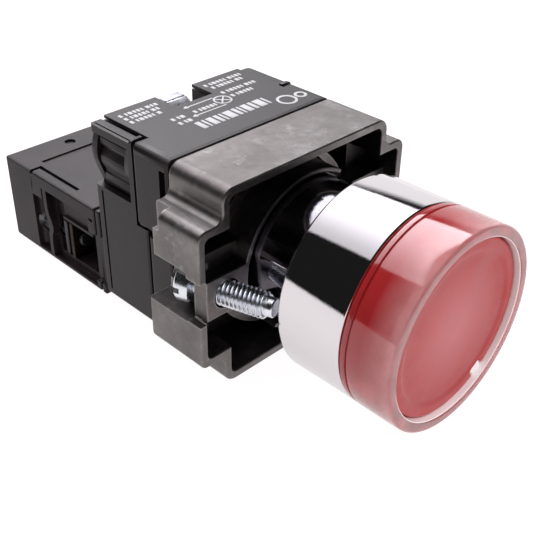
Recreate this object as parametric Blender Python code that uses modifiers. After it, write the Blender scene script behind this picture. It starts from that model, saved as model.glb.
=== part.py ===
"""Illuminated panel push-button, 22 mm hole: chrome head, clamping collar, light block and contact block.

Every piece is modelled upright, with +Z along the push axis towards the user and z = 0 at the collar's
front rim. The root empty then lays the whole unit on its side: local X stays X, local +Z becomes -Y,
and local +Y becomes +Z, with the collar's lower flange on the ground. Lengths are in millimetres until
they reach a mesh, where MM turns them into metres.
"""
import math

import bmesh
import bpy
from mathutils import Matrix, Vector

MM = 0.001
FIT = 0.25                     # clearance left between pieces that touch
ROUND = 36                     # sides of the large round shapes
INNER_ROUND = 24               # sides of the round shapes inside

# Overall
RING_FRONT = 25.74             # foremost point of the guard ring
BLOCK_REAR = -53.5             # rear face of the contact block
AXIS_HEIGHT = 15.0             # push axis above the ground

# Head
BEZEL_RADIUS = 14.0
BEZEL_FRONT = 17.95
BEZEL_REAR = 7.7
BEZEL_POCKET_RADIUS = 13.35    # holds the guard ring's spigot and the return spring
SPRING_SHELF = 13.0
NECK_RADIUS = 10.9
NECK_REAR = -8.2
NECK_BORE = 9.4
NECK_FLAT = 10.2               # distance of the two flats from the axis
SEAL_SHELF = 11.2
SEAL_RADIUS = 10.1
TRAVEL = 4.5                   # push of the button

RING_OUTER = 14.05
RING_INNER = 12.6
RING_REAR = 18.2
LENS_RADIUS = 12.2
LENS_FRONT = 24.95
LENS_REAR = 22.2
NOTCH_ANGLE = -57.0
FLANGE_FRONT = 21.9
FLANGE_REAR = 20.6
CARRIER_RADIUS = 9.0
CARRIER_BORE = 7.1
CARRIER_REAR = -9.3
SPRING_MEAN_RADIUS = 10.5
SPRING_WIRE = 0.35
SPIGOT_RADIUS = 13.1

# Collar
COLLAR_HALF_X = 15.6
COLLAR_HALF_Y = 15.0
COLLAR_DEPTH = 10.45
WALL = 1.2
WING_X = 19.75
WING_TOP = 10.6
WING_BOTTOM = -10.3
WING_POCKET = 6.2              # depth of the hollow in a wing
FLOOR = -9.3                   # inside face of the collar's floor
BORE_RADIUS = 11.15
BOSS_RADIUS = 11.95
WEB_HALF = 3.05
WEB_X = 18.5
WEB_DEPTH = 2.5
CHANNEL_TOP = 4.1
CHANNEL_BOTTOM = -3.5
LOCK_RADIUS = 12.4             # counterbore behind the collar's bore, where the neck's lugs turn
LOCK_LEDGE = -6.1

# Clamp screws
SCREW_TILT = math.atan(0.32)
SCREW_X = 15.0                 # where the screw's axis crosses the collar's front plane
THREAD_RADIUS = 1.85
SCREW_TIP = 6.9
HEAD_START = -4.5
HEAD_END = -6.8
HEAD_RADIUS = 2.75

# Light block
BASE_FRONT = -10.7
BASE_HALF_X = 15.3
CASE_HALF_X = 15.1
SEAM_UPPER = -18.2             # rear edge of the base above SEAM_Y
SEAM_LOWER = -15.8
SEAM_Y = 2.3
LIGHT_REAR = -27.7
SEAT_DEPTH = 0.15              # how far the rear face steps in where the contact block sits
LIGHT_TOP = 15.0
LIGHT_BOTTOM = -13.6
LEDGE_X = 12.7
LEDGE_Y = 14.5
CASE_CAVITY_X = 10.4
CASE_CAVITY_Y = 8.6
TUBE_OUTER = 6.3
TUBE_BORE = 5.55
TUBE_FRONT = -2.4
RECESS_RADIUS = 10.8           # room behind the carrier
RECESS_FLOOR = -14.8
ROD_INNER = 7.2
ROD_OUTER = 8.8
ROD_HALF_WIDTH = 1.5
ROD_FRONT = -9.6
ROD_REAR = -27.2
TERMINAL_LEFT = -3.6
TERMINAL_RIGHT = 3.4
TERMINAL_FRONT = -23.0
TERMINAL_FLOOR = 9.6
TERMINAL_X = -0.85             # axis of the terminal screw, on the upper side
TERMINAL_PLATE = (-23.9, -23.2)
STRIP_X = (-3.0, -2.1)
UPPER_SCREW_Y = 12.2
LOWER_SCREW_Y = 11.25

# Latch levers
LATCH_LOW = 5.2
LATCH_HIGH = 13.4
LATCH_FRONT = -19.9
LATCH_REAR = -26.2
LATCH_PIVOT_X = 12.6
LATCH_PIVOT_Y = 9.3
LATCH_THICKNESS = 1.1
LATCH_FACE_X = 14.3            # mean outer face of a lever, which waves by half a millimetre
LATCH_CREST = 10.3
LATCH_WAVE = 6.6
LATCH_ROOM_X = 11.3            # inner wall of a latch window
TRUNNION_RADIUS = 0.7

# Contact block
CONTACT_HALF_X = 15.0
CONTACT_TOP = 0.1
CONTACT_BOTTOM = -14.6
COVER_FRONT = -27.95
COVER_REAR = -29.0
CHAMBER_HALF_X = 8.2
CHAMBER_REAR = -52.0
PLUNGER_REAR = -39.0
CONTACT_Y = -7.5
ENTRY_X = 9.9                  # inner end of the wire entries
CONTACT_SCREW_X = 12.0
CONTACT_SCREW_Y = -9.3
HOOD_BOTTOM = -5.9             # hood over the terminals in each wire entry
HOOD_X = 14.2
PLATE_TOP = -36.9              # fixed terminal plates
PLATE_THICKNESS = 0.7
WASHER_REAR = -39.4
BRIDGE_TOP = -30.6
BRIDGE_THICKNESS = 0.8

# Finishes: colour, roughness, metallic
CHROME = ((0.80, 0.80, 0.82), 0.08, 1.0)
ZINC = ((0.42, 0.39, 0.38), 0.55, 0.6)
BRIGHT_STEEL = ((0.72, 0.73, 0.75), 0.25, 1.0)
BRASS = ((0.72, 0.55, 0.26), 0.3, 1.0)
SILVER = ((0.85, 0.85, 0.83), 0.25, 1.0)
BLACK_PLASTIC = ((0.045, 0.04, 0.043), 0.5, 0.0)
RED_PLASTIC = ((0.62, 0.06, 0.06), 0.2, 0.0)
WHITE_PLASTIC = ((0.85, 0.84, 0.80), 0.45, 0.0)
RUBBER = ((0.02, 0.02, 0.02), 0.8, 0.0)
GLASS = ((0.9, 0.93, 0.95), 0.03, 0.0)

for old in list(bpy.data.objects):
    bpy.data.objects.remove(old)

parts = bpy.data.collections.new("illuminated_push_button")
cutters = bpy.data.collections.new("cutters")
for group in (parts, cutters):
    bpy.context.scene.collection.children.link(group)

root = bpy.data.objects.new("unit_on_its_side", None)
root.rotation_euler = (math.radians(90.0), 0.0, 0.0)
root.location = (0.0, (RING_FRONT + BLOCK_REAR) / 2.0 * MM, AXIS_HEIGHT * MM)
parts.objects.link(root)


# ---------------------------------------------------------------- helpers

def empty_at(name, x, y, z, turn=(0.0, 0.0, 0.0)):
    """An empty on a joint's axis, under the root."""
    empty = bpy.data.objects.new(name, None)
    empty.parent = root
    empty.location = (x * MM, y * MM, z * MM)
    empty.rotation_euler = turn
    parts.objects.link(empty)
    return empty


def link(name, mesh, parent=None, cutter=False):
    """A mesh object in its collection, parented to the root or to a joint's empty."""
    shape = bpy.data.objects.new(name, mesh)
    (cutters if cutter else parts).objects.link(shape)
    shape.parent = parent or root
    if cutter:
        shape.hide_render = True
        shape.display_type = "WIRE"
    return shape


def paint(shape, finish):
    """Give the object a Principled material of its own."""
    colour, roughness, metallic = finish
    material = bpy.data.materials.new(shape.name + "_finish")
    material.use_nodes = True
    shader = material.node_tree.nodes["Principled BSDF"]
    shader.inputs["Base Color"].default_value = (*colour, 1.0)
    shader.inputs["Roughness"].default_value = roughness
    shader.inputs["Metallic"].default_value = metallic
    shape.data.materials.append(material)
    return shape


def smooth(shape, angle=35.0):
    shape.data.shade_smooth()
    shape.data.set_sharp_from_angle(angle=math.radians(angle))
    return shape


def box(name, low, high, parent=None, cutter=False, round_edges=0.0, segments=2):
    """A box between two corners, in millimetres."""
    centre = [(a + b) / 2.0 for a, b in zip(low, high)]
    size = [b - a for a, b in zip(low, high)]
    shape_matrix = Matrix.Translation(Vector(centre) * MM) @ Matrix.Diagonal((*[s * MM for s in size], 1.0))
    build = bmesh.new()
    bmesh.ops.create_cube(build, size=1.0, matrix=shape_matrix)
    mesh = bpy.data.meshes.new(name)
    build.to_mesh(mesh)
    build.free()
    shape = link(name, mesh, parent, cutter)
    if round_edges:
        bevel = shape.modifiers.new("round_edges", "BEVEL")
        bevel.width = round_edges * MM
        bevel.segments = segments
    return shape


def rod(name, radius, low, high, x=0.0, y=0.0, parent=None, cutter=False, sides=24):
    """A cylinder along local Z."""
    build = bmesh.new()
    place = Matrix.Translation(Vector((x, y, (low + high) / 2.0)) * MM)
    bmesh.ops.create_cone(build, cap_ends=True, segments=sides, radius1=radius * MM, radius2=radius * MM,
                          depth=(high - low) * MM, matrix=place)
    mesh = bpy.data.meshes.new(name)
    build.to_mesh(mesh)
    build.free()
    return link(name, mesh, parent, cutter)


def turned(name, profile, steps=ROUND, parent=None, cutter=False, closed=True):
    """A Screw around local Z of (radius, height) points that run down the outer side."""
    mesh = bpy.data.meshes.new(name)
    points = [(radius * MM, 0.0, height * MM) for radius, height in profile]
    edges = [(i, i + 1) for i in range(len(points) - 1)]
    if closed:
        edges.append((len(points) - 1, 0))
    mesh.from_pydata(points, edges, [])
    shape = link(name, mesh, parent, cutter)
    screw = shape.modifiers.new("turn", "SCREW")
    screw.axis = "Z"
    screw.steps = steps
    screw.render_steps = steps
    screw.use_merge_vertices = True
    screw.merge_threshold = 0.00001
    screw.use_normal_calculate = False
    return shape


def arc(centre_x, centre_y, radius, start, end, count=5):
    """Points on an arc, angles in degrees."""
    step = (end - start) / (count - 1)
    angles = [math.radians(start + step * i) for i in range(count)]
    return [(centre_x + radius * math.cos(a), centre_y + radius * math.sin(a)) for a in angles]


def rounded(corners, count=3):
    """An outline whose corners (x, y, radius) become arcs, whichever way they turn."""
    outline = []
    for i, (x, y, radius) in enumerate(corners):
        here = Vector((x, y))
        before = (Vector(corners[i - 1][:2]) - here).normalized()
        after = (Vector(corners[(i + 1) % len(corners)][:2]) - here).normalized()
        if radius <= 0.0:
            outline.append((x, y))
            continue
        half = before.angle(after) / 2.0
        centre = here + (before + after).normalized() * (radius / math.sin(half))
        start = here + before * (radius / math.tan(half)) - centre
        end = here + after * (radius / math.tan(half)) - centre
        sweep = start.angle_signed(end)
        for j in range(count + 1):
            spoke = start.copy()
            spoke.rotate(Matrix.Rotation(-sweep * j / count, 2))
            outline.append((centre.x + spoke.x, centre.y + spoke.y))
    return outline


def slab(name, outline, low, high, parent=None, cutter=False):
    """An outline extruded along local Z, from a filled 2D curve."""
    curve = bpy.data.curves.new(name, "CURVE")
    curve.dimensions = "2D"
    curve.fill_mode = "BOTH"
    curve.extrude = (high - low) / 2.0 * MM
    spline = curve.splines.new("POLY")
    spline.points.add(len(outline) - 1)
    for point, (x, y) in zip(spline.points, outline):
        point.co = (x * MM, y * MM, 0.0, 1.0)
    spline.use_cyclic_u = True
    guide = bpy.data.objects.new(name + "_outline", curve)
    bpy.context.scene.collection.objects.link(guide)
    bpy.context.view_layer.update()
    evaluated = guide.evaluated_get(bpy.context.evaluated_depsgraph_get())
    mesh = bpy.data.meshes.new_from_object(evaluated)
    bpy.data.objects.remove(guide)
    build = bmesh.new()
    build.from_mesh(mesh)
    bmesh.ops.remove_doubles(build, verts=build.verts, dist=0.000001)
    for level in (-1, 1):
        cap = [face for face in build.faces if all(vert.co.z * level > 0.0 for vert in face.verts)]
        bmesh.ops.dissolve_faces(build, faces=cap)
    bmesh.ops.translate(build, verts=build.verts, vec=(0.0, 0.0, (low + high) / 2.0 * MM))
    bmesh.ops.recalc_face_normals(build, faces=build.faces)
    build.to_mesh(mesh)
    build.free()
    mesh.name = name
    return link(name, mesh, parent, cutter)


def coil(name, mean_radius, wire, low, high, turns, x=0.0, y=0.0, points_a_turn=12):
    """A compression spring around local Z whose wire ends lie between low and high."""
    curve = bpy.data.curves.new(name, "CURVE")
    curve.dimensions = "3D"
    curve.bevel_depth = wire * MM
    curve.bevel_resolution = 2
    curve.use_fill_caps = True
    count = int(turns * points_a_turn) + 1
    spline = curve.splines.new("POLY")
    spline.points.add(count - 1)
    for i, point in enumerate(spline.points):
        angle = 2.0 * math.pi * i / points_a_turn
        rise = low + wire + (high - low - 2.0 * wire) * i / (count - 1)
        point.co = (mean_radius * math.cos(angle) * MM, mean_radius * math.sin(angle) * MM, rise * MM, 1.0)
    spring = bpy.data.objects.new(name, curve)
    parts.objects.link(spring)
    spring.parent = root
    spring.location = (x * MM, y * MM, 0.0)
    return spring


def combine(shape, tool, operation):
    change = shape.modifiers.new(operation.lower() + "_" + tool.name, "BOOLEAN")
    change.operation = operation
    change.object = tool
    change.solver = "EXACT"
    return shape


def cut(shape, *tools):
    for tool in tools:
        combine(shape, tool, "DIFFERENCE")
    return shape


def add(shape, *tools):
    for tool in tools:
        combine(shape, tool, "UNION")
    return shape


def strip(name, pieces, finish):
    """A bent metal strip of overlapping boxes, each a hair slimmer than the last, so no faces meet."""
    first = box(name, *pieces[0])
    for i, (low, high) in enumerate(pieces[1:], start=1):
        slim = 0.012 * i
        leg = [value + slim for value in low], [value - slim for value in high]
        add(first, box(f"{name}_leg_{i}", *leg, cutter=True))
    return paint(first, finish)


# ---------------------------------------------------------------- head

def head_body():
    """Chrome bezel and neck in one casting, with a pocket for the ring and two bayonet lugs."""
    profile = [
        (13.8, BEZEL_FRONT), (BEZEL_RADIUS, BEZEL_FRONT - 0.2), (BEZEL_RADIUS, BEZEL_REAR + 0.25),
        (BEZEL_RADIUS - 0.25, BEZEL_REAR), (13.2, BEZEL_REAR), (13.2, BEZEL_REAR + 1.1),
        (NECK_RADIUS, BEZEL_REAR + 1.1), (NECK_RADIUS, NECK_REAR + 0.3), (NECK_RADIUS - 0.3, NECK_REAR),
        (NECK_BORE, NECK_REAR), (NECK_BORE, SEAL_SHELF), (SEAL_RADIUS, SEAL_SHELF),
        (SEAL_RADIUS, SPRING_SHELF), (BEZEL_POCKET_RADIUS, SPRING_SHELF),
        (BEZEL_POCKET_RADIUS, BEZEL_FRONT - 0.1), (BEZEL_POCKET_RADIUS + 0.1, BEZEL_FRONT),
    ]
    body = turned("head_body", profile)
    for side in (-1, 1):
        near, far = sorted((side * NECK_FLAT, side * (NECK_RADIUS + 1.0)))
        flat = box(f"neck_flat_{side}", (near, -6.0, NECK_REAR - 1.0), (far, 6.0, BEZEL_REAR + 0.02),
                   cutter=True)
        low, high = sorted((side * (NECK_BORE + 0.6), side * (NECK_RADIUS + 1.0)))
        lug = box(f"neck_lug_{side}", (-2.5, low, -7.9), (2.5, high, LOCK_LEDGE - FIT), cutter=True)
        cut(body, flat)
        add(body, lug)
    return paint(smooth(body), CHROME)


def panel_gasket():
    seal = turned("panel_gasket", [(13.0, 8.5), (13.0, 7.55), (11.2, 7.55), (11.2, 8.5)])
    return paint(smooth(seal), RUBBER)


def guard_ring():
    """Translucent ring with a rear flange, a rounded front rim and a spigot that sits in the bezel."""
    profile = arc(RING_INNER + 0.35, RING_FRONT - 0.35, 0.35, 180.0, 90.0, count=3)
    profile += arc(RING_OUTER - 0.5, RING_FRONT - 0.5, 0.5, 90.0, 0.0, count=4)
    profile += [
        (RING_OUTER, 19.3), (RING_OUTER - 0.25, 19.25), (RING_OUTER - 0.25, 19.0), (BEZEL_RADIUS, 18.95),
        (BEZEL_RADIUS, RING_REAR), (SPIGOT_RADIUS, RING_REAR), (SPIGOT_RADIUS, 16.0), (12.0, 16.0),
        (12.0, 17.1),
        (RING_INNER, 17.5),
    ]
    ring = turned("guard_ring", profile)
    return paint(smooth(ring), RED_PLASTIC)


def push_lens(slide):
    """The part the finger presses: a dished cup with a slot for prising it out."""
    profile = [(0.0, LENS_FRONT - 0.35), (6.0, LENS_FRONT - 0.29), (10.4, LENS_FRONT - 0.12)]
    profile += [(10.8, LENS_FRONT)]
    profile += arc(LENS_RADIUS - 0.35, LENS_FRONT - 0.35, 0.35, 90.0, 0.0, count=3)
    profile += [(LENS_RADIUS, LENS_REAR), (11.0, LENS_REAR), (11.0, LENS_FRONT - 1.35),
                (0.0, LENS_FRONT - 1.45)]
    lens = turned("push_lens", profile, parent=slide, closed=False)
    notch = box("lens_notch", (11.1, -0.75, LENS_FRONT - 1.2), (13.0, 0.75, LENS_FRONT + 1.0), slide,
                cutter=True)
    notch.rotation_euler = (0.0, 0.0, math.radians(NOTCH_ANGLE))
    cut(lens, notch)
    return paint(smooth(lens), RED_PLASTIC)


def lens_diffuser(slide):
    profile = [(0.0, 23.2), (10.6, 23.2), (10.7, 23.1), (10.7, 22.2), (9.9, 22.2), (9.9, 22.5), (0.0, 22.5)]
    return paint(smooth(turned("lens_diffuser", profile, parent=slide, closed=False)), WHITE_PLASTIC)


def lens_carrier(slide):
    """Tube that carries the lens through the neck, kept in by two snap lugs behind it."""
    profile = [
        (11.7, FLANGE_FRONT), (11.7, FLANGE_REAR), (CARRIER_RADIUS, FLANGE_REAR),
        (CARRIER_RADIUS, CARRIER_REAR),
        (CARRIER_BORE, CARRIER_REAR), (CARRIER_BORE, FLANGE_REAR), (8.6, FLANGE_FRONT),
    ]
    carrier = turned("lens_carrier", profile, parent=slide)
    for side in (-1, 1):
        near, far = sorted((side * (CARRIER_RADIUS - 0.6), side * 10.1))
        lug = box(f"carrier_lug_{side}", (near, -2.0, CARRIER_REAR), (far, 2.0, NECK_REAR - FIT), slide,
                  True)
        add(carrier, lug)
    return paint(smooth(carrier), BLACK_PLASTIC)


def return_spring():
    low = SPRING_SHELF + FIT
    high = FLANGE_REAR - FIT
    return paint(coil("return_spring", SPRING_MEAN_RADIUS, SPRING_WIRE, low, high, 3), BRIGHT_STEEL)


def carrier_seal():
    """Rubber lip ring between the carrier and the bezel."""
    profile = [(10.0, 12.75), (10.0, 11.45), (9.2, 11.45), (9.35, 12.1), (9.2, 12.75)]
    return paint(smooth(turned("carrier_seal", profile)), RUBBER)


# ---------------------------------------------------------------- collar

def collar_outline():
    """Outline of the collar: a box with a wing on each side."""
    x, y, wing = COLLAR_HALF_X, COLLAR_HALF_Y, WING_X
    corner, tip, valley = 1.8, 1.2, 1.5
    return rounded([
        (x, y, corner), (-x, y, corner), (-x, WING_TOP, valley), (-wing, WING_TOP, tip),
        (-wing, WING_BOTTOM, tip), (-x, WING_BOTTOM, valley), (-x, -y, corner), (x, -y, corner),
        (x, WING_BOTTOM, valley), (wing, WING_BOTTOM, tip), (wing, WING_TOP, tip), (x, WING_TOP, valley),
    ])


def collar():
    """Die-cast clamping collar: open box with two wings, a bored boss and a web for each clamp screw."""
    body = slab("collar", collar_outline(), -COLLAR_DEPTH, 0.0)
    centre = rounded([
        (COLLAR_HALF_X - WALL, COLLAR_HALF_Y - WALL, 0.9), (-COLLAR_HALF_X + WALL, COLLAR_HALF_Y - WALL,
                                                            0.9),
        (-COLLAR_HALF_X + WALL, -COLLAR_HALF_Y + WALL, 0.9),
        (COLLAR_HALF_X - WALL, -COLLAR_HALF_Y + WALL, 0.9),
    ])
    cut(body, slab("collar_hollow", centre, FLOOR, 1.0, cutter=True))
    wings = rounded([
        (WING_X - WALL, WING_TOP - WALL, 0.7), (-WING_X + WALL, WING_TOP - WALL, 0.7),
        (-WING_X + WALL, WING_BOTTOM + WALL, 0.7), (WING_X - WALL, WING_BOTTOM + WALL, 0.7),
    ])
    cut(body, slab("wing_hollow", wings, -WING_POCKET, 0.9, cutter=True))
    add(body, rod("collar_boss", BOSS_RADIUS, FLOOR - 0.5, -0.08, cutter=True, sides=ROUND))
    add(body, rod("collar_boss_root", LOCK_RADIUS + 0.9, FLOOR - 0.6, LOCK_LEDGE + 1.1, cutter=True,
                  sides=ROUND))
    for side in (-1, 1):
        name = "left" if side < 0 else "right"
        web_low, web_high = sorted((side * (WING_X - 0.6), side * 11.0))
        web = box(f"web_{name}", (web_low, -WEB_HALF, -WING_POCKET - 0.3), (web_high, WEB_HALF, -0.04),
                  cutter=True)
        back_low, back_high = sorted((side * (WING_X - 0.4), side * 11.0))
        back = box(f"web_back_{name}", (back_low, CHANNEL_BOTTOM - WALL, FLOOR - 0.4),
                   (back_high, CHANNEL_TOP + WALL, -WEB_DEPTH), cutter=True)
        add(body, web, back)
        outer_low, outer_high = sorted((side * (WING_X + 1.0), side * WEB_X))
        inset = box(f"web_inset_{name}", (outer_low, -WEB_HALF - 0.25, -WEB_DEPTH - 0.5),
                    (outer_high, WEB_HALF + 0.25, 1.0), cutter=True)
        channel_low, channel_high = sorted((side * (WING_X + 1.0), side * 15.9))
        channel = box(f"channel_{name}", (channel_low, CHANNEL_BOTTOM, -COLLAR_DEPTH - 1.0),
                      (channel_high, CHANNEL_TOP, -WEB_DEPTH), cutter=True)
        step_low, step_high = sorted((side * (WING_X + 1.0), side * 17.6))
        step = box(f"wing_step_{name}", (step_low, 8.0, -COLLAR_DEPTH - 1.0), (step_high, 12.0, -7.6),
                   cutter=True)
        lower = box(f"wing_rear_{name}", (step_low, 2.0, -COLLAR_DEPTH - 1.0), (step_high, 8.3, -8.7),
                    cutter=True)
        cut(body, inset, channel, step, lower)
        tilted = empty_at(f"collar_screw_axis_{name}", side * SCREW_X, 0.0, 0.0,
                          (0.0, -side * SCREW_TILT, 0.0))
        hole = rod(f"screw_hole_{name}", THREAD_RADIUS + FIT, -9.0, 9.0, parent=tilted, cutter=True)
        seat = rod(f"screw_seat_{name}", HEAD_RADIUS + 0.35, -16.0, HEAD_START + 0.3, parent=tilted,
                   cutter=True)
        cut(body, hole, seat)
    cut(body, rod("collar_bore", BORE_RADIUS, -20.0, 5.0, cutter=True, sides=ROUND))
    cut(body, rod("lock_counterbore", LOCK_RADIUS, -20.0, LOCK_LEDGE, cutter=True, sides=ROUND))
    gate = box("lock_gate", (-12.1, -2.8, LOCK_LEDGE - 1.0), (12.1, 2.8, 1.0), cutter=True)
    gate.rotation_euler = (0.0, 0.0, math.radians(45.0))
    cut(body, gate)
    return paint(smooth(body), ZINC)


def clamp_screw(name, side):
    """Slotted cheese-head screw on its tilted axis; its tip bears on the back of the panel."""
    axis = empty_at(f"{name}_axis", side * SCREW_X, 0.0, 0.0, (0.0, -side * SCREW_TILT, 0.0))
    profile = [
        (0.0, SCREW_TIP), (1.3, SCREW_TIP), (1.4, SCREW_TIP - 0.1), (1.4, SCREW_TIP - 0.8),
        (THREAD_RADIUS, SCREW_TIP - 1.2), (THREAD_RADIUS, HEAD_START), (HEAD_RADIUS, HEAD_START),
        (HEAD_RADIUS, HEAD_END + 0.3), (HEAD_RADIUS - 0.3, HEAD_END), (0.0, HEAD_END),
    ]
    screw = turned(name, profile, steps=20, parent=axis, closed=False)
    cut(screw, box(f"{name}_slot", (-4.0, -0.4, HEAD_END - 1.0), (4.0, 0.4, HEAD_END + 1.1), axis, True))
    return paint(smooth(screw), BRIGHT_STEEL)


# ---------------------------------------------------------------- light block

def light_block_base():
    """Front moulding behind the collar, with the lamp tube and the room the carrier needs."""
    base = box("light_block_base", (-BASE_HALF_X, LIGHT_BOTTOM, SEAM_LOWER),
               (BASE_HALF_X, LIGHT_TOP, BASE_FRONT),
               round_edges=0.7)
    upper = box("base_upper", (-BASE_HALF_X, SEAM_Y + FIT / 2, SEAM_UPPER),
                (BASE_HALF_X, LIGHT_TOP, BASE_FRONT - 0.8),
                cutter=True, round_edges=0.7)
    plate = box("label_plate", (-LEDGE_X, LEDGE_Y - 0.02, LIGHT_REAR),
                (LEDGE_X, LIGHT_TOP, SEAM_UPPER + 1.5), cutter=True,
                round_edges=0.15)
    add(base, upper, plate)
    cut(base, box("plate_notch", (TERMINAL_LEFT, 13.0, -40.0), (TERMINAL_RIGHT, 17.0, TERMINAL_FRONT),
                  cutter=True))
    spigot = turned("base_spigot", [(12.1, -8.8), (12.1, -12.0), (11.2, -12.0), (11.2, -8.8)], cutter=True)
    add(base, spigot)
    cut(base, rod("carrier_room", RECESS_RADIUS, RECESS_FLOOR, 0.0, cutter=True, sides=INNER_ROUND))
    add(base, rod("lamp_tube", TUBE_OUTER, RECESS_FLOOR - 1.0, TUBE_FRONT, cutter=True, sides=INNER_ROUND))
    cut(base, rod("lamp_tube_bore", TUBE_BORE, -30.0, 5.0, cutter=True, sides=INNER_ROUND))
    for side in (-1, 1):
        low, high = sorted((side * (ROD_INNER - FIT), side * (ROD_OUTER + FIT)))
        guide = (-ROD_HALF_WIDTH - FIT, low, -30.0), (ROD_HALF_WIDTH + FIT, high, -10.0)
        cut(base, box(f"rod_guide_base_{side}", *guide, cutter=True))
        near, far = sorted((side * (BASE_HALF_X - 1.0), side * (BASE_HALF_X + 1.0)))
        cut(base, box(f"base_slot_{side}", (near, 8.8, -12.6), (far, 13.0, -11.4), cutter=True))
        cut(base, box(f"base_mark_{side}", (near, 1.6, -16.6), (far, 2.9, -14.2), cutter=True))
    return paint(smooth(base), BLACK_PLASTIC)


def light_block_case():
    """Rear moulding with the label plate, the terminal recesses and the windows for the latch levers."""
    case = box("light_block_case", (-CASE_HALF_X, LIGHT_BOTTOM, LIGHT_REAR),
               (CASE_HALF_X, LIGHT_TOP, SEAM_LOWER - FIT),
               round_edges=0.5)
    x = CASE_HALF_X + 1.0
    cut(case, box("seam_step", (-x, SEAM_Y - FIT / 2, SEAM_UPPER - FIT), (x, 20.0, 0.0), cutter=True))
    cut(case, box("plate_bed", (-LEDGE_X - 0.45, LEDGE_Y - FIT, -40.0), (LEDGE_X + 0.45, 20.0, 0.0),
                  cutter=True))
    cut(case, box("contact_seat", (-x, LIGHT_BOTTOM - 1.0, -40.0),
                  (x, CONTACT_TOP + FIT, LIGHT_REAR + SEAT_DEPTH),
                  cutter=True))
    cut(case, box("case_cavity", (-CASE_CAVITY_X, -CASE_CAVITY_Y, LIGHT_REAR + 1.5),
                  (CASE_CAVITY_X, CASE_CAVITY_Y, 0.0), cutter=True))
    for side in (-1, 1):
        ledge_low, ledge_high = sorted((side * LEDGE_X, side * x))
        cut(case, box(f"ledge_{side}", (ledge_low, LEDGE_Y, -40.0), (ledge_high, 20.0, -19.0), cutter=True))
        rod_low, rod_high = sorted((side * (ROD_INNER - FIT), side * (ROD_OUTER + FIT)))
        cut(case, box(f"rod_guide_case_{side}", (-ROD_HALF_WIDTH - FIT, rod_low, -30.0),
                      (ROD_HALF_WIDTH + FIT, rod_high, 0.0), cutter=True))
        recess = mirrored((TERMINAL_LEFT, TERMINAL_FLOOR, -40.0), (TERMINAL_RIGHT, 17.0, TERMINAL_FRONT),
                          side)
        cut(case, box(f"terminal_recess_{side}", *recess, cutter=True))
        screw_y = UPPER_SCREW_Y if side > 0 else LOWER_SCREW_Y
        cut(case, rod(f"screw_room_{side}", 1.3, -24.0, -21.2, side * TERMINAL_X, side * screw_y,
                      cutter=True,
                      sides=16))
        window_low, window_high = sorted((side * (x + 1.0), side * LATCH_ROOM_X))
        y_low, y_high = latch_span(side)
        cut(case, box(f"latch_window_{side}", (window_low, y_low, -40.0), (window_high, y_high, -19.4),
                      cutter=True))
        slot_low, slot_high = sorted((side * x, side * (CASE_HALF_X - 0.5)))
        seam = box(f"rear_seam_{side}", (slot_low, -12.4, -26.35), (slot_high, 4.6, -25.95), cutter=True)
        cut(case, seam)
        opening = mirrored((STRIP_X[0] - FIT, CASE_CAVITY_Y - 1.0, TERMINAL_PLATE[0] - FIT),
                           (STRIP_X[1] + FIT, TERMINAL_FLOOR + 1.0, TERMINAL_PLATE[1] + FIT), side)
        cut(case, box(f"strip_slot_{side}", *opening, cutter=True))
    for side in (-1, 1):
        ear_low, ear_high = sorted((side * 13.4, side * 11.0))
        ear_y = sorted((-side * (LATCH_PIVOT_Y - 1.7), -side * (LATCH_PIVOT_Y + 1.7)))
        add(case, box(f"latch_ear_{side}", (ear_low, ear_y[0], LIGHT_REAR),
                      (ear_high, ear_y[1], LATCH_REAR - FIT),
                      cutter=True))
        cut(case, rod(f"latch_bearing_{side}", TRUNNION_RADIUS + FIT, LIGHT_REAR + 0.4, -18.8,
                      side * LATCH_PIVOT_X,
                      -side * LATCH_PIVOT_Y, cutter=True))
    return paint(smooth(case), BLACK_PLASTIC)


def latch_span(side):
    """Height range of a latch window: upper half on the left side, lower half on the right."""
    return (LATCH_LOW, LATCH_HIGH) if side < 0 else (-LATCH_HIGH, -LATCH_LOW)


def latch_lever(name, side):
    """S-shaped lever that rocks on a trunnion; made on the left and turned half round for the right."""
    turn = 0.0 if side < 0 else math.pi
    pivot = empty_at(f"{name}_axis", side * LATCH_PIVOT_X, -side * LATCH_PIVOT_Y, 0.0, (0.0, 0.0, turn))
    count = 9
    outer = []
    for i in range(count + 1):
        y = LATCH_LOW + 0.4 + (LATCH_HIGH - LATCH_LOW - 0.8) * i / count
        wave = math.cos(2.0 * math.pi * (y - LATCH_CREST) / LATCH_WAVE)
        outer.append((LATCH_PIVOT_X - LATCH_FACE_X - 0.5 * wave, y - LATCH_PIVOT_Y))
    inner = [(x + LATCH_THICKNESS, y) for x, y in reversed(outer)]
    lever = slab(name, outer + inner, LATCH_REAR, LATCH_FRONT, parent=pivot)
    hub = rod(f"{name}_hub", 1.05, LATCH_REAR, LATCH_FRONT, parent=pivot, cutter=True)
    trunnion = rod(f"{name}_trunnion", TRUNNION_RADIUS, LATCH_REAR - 0.9, LATCH_FRONT + 0.9, parent=pivot,
                   cutter=True)
    add(lever, hub, trunnion)
    return paint(smooth(lever), BLACK_PLASTIC)


def push_rod(name, side, slide):
    low, high = sorted((side * ROD_INNER, side * ROD_OUTER))
    bar = box(name, (-ROD_HALF_WIDTH, low, ROD_REAR), (ROD_HALF_WIDTH, high, ROD_FRONT), slide,
              round_edges=0.2)
    return paint(bar, WHITE_PLASTIC)


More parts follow.
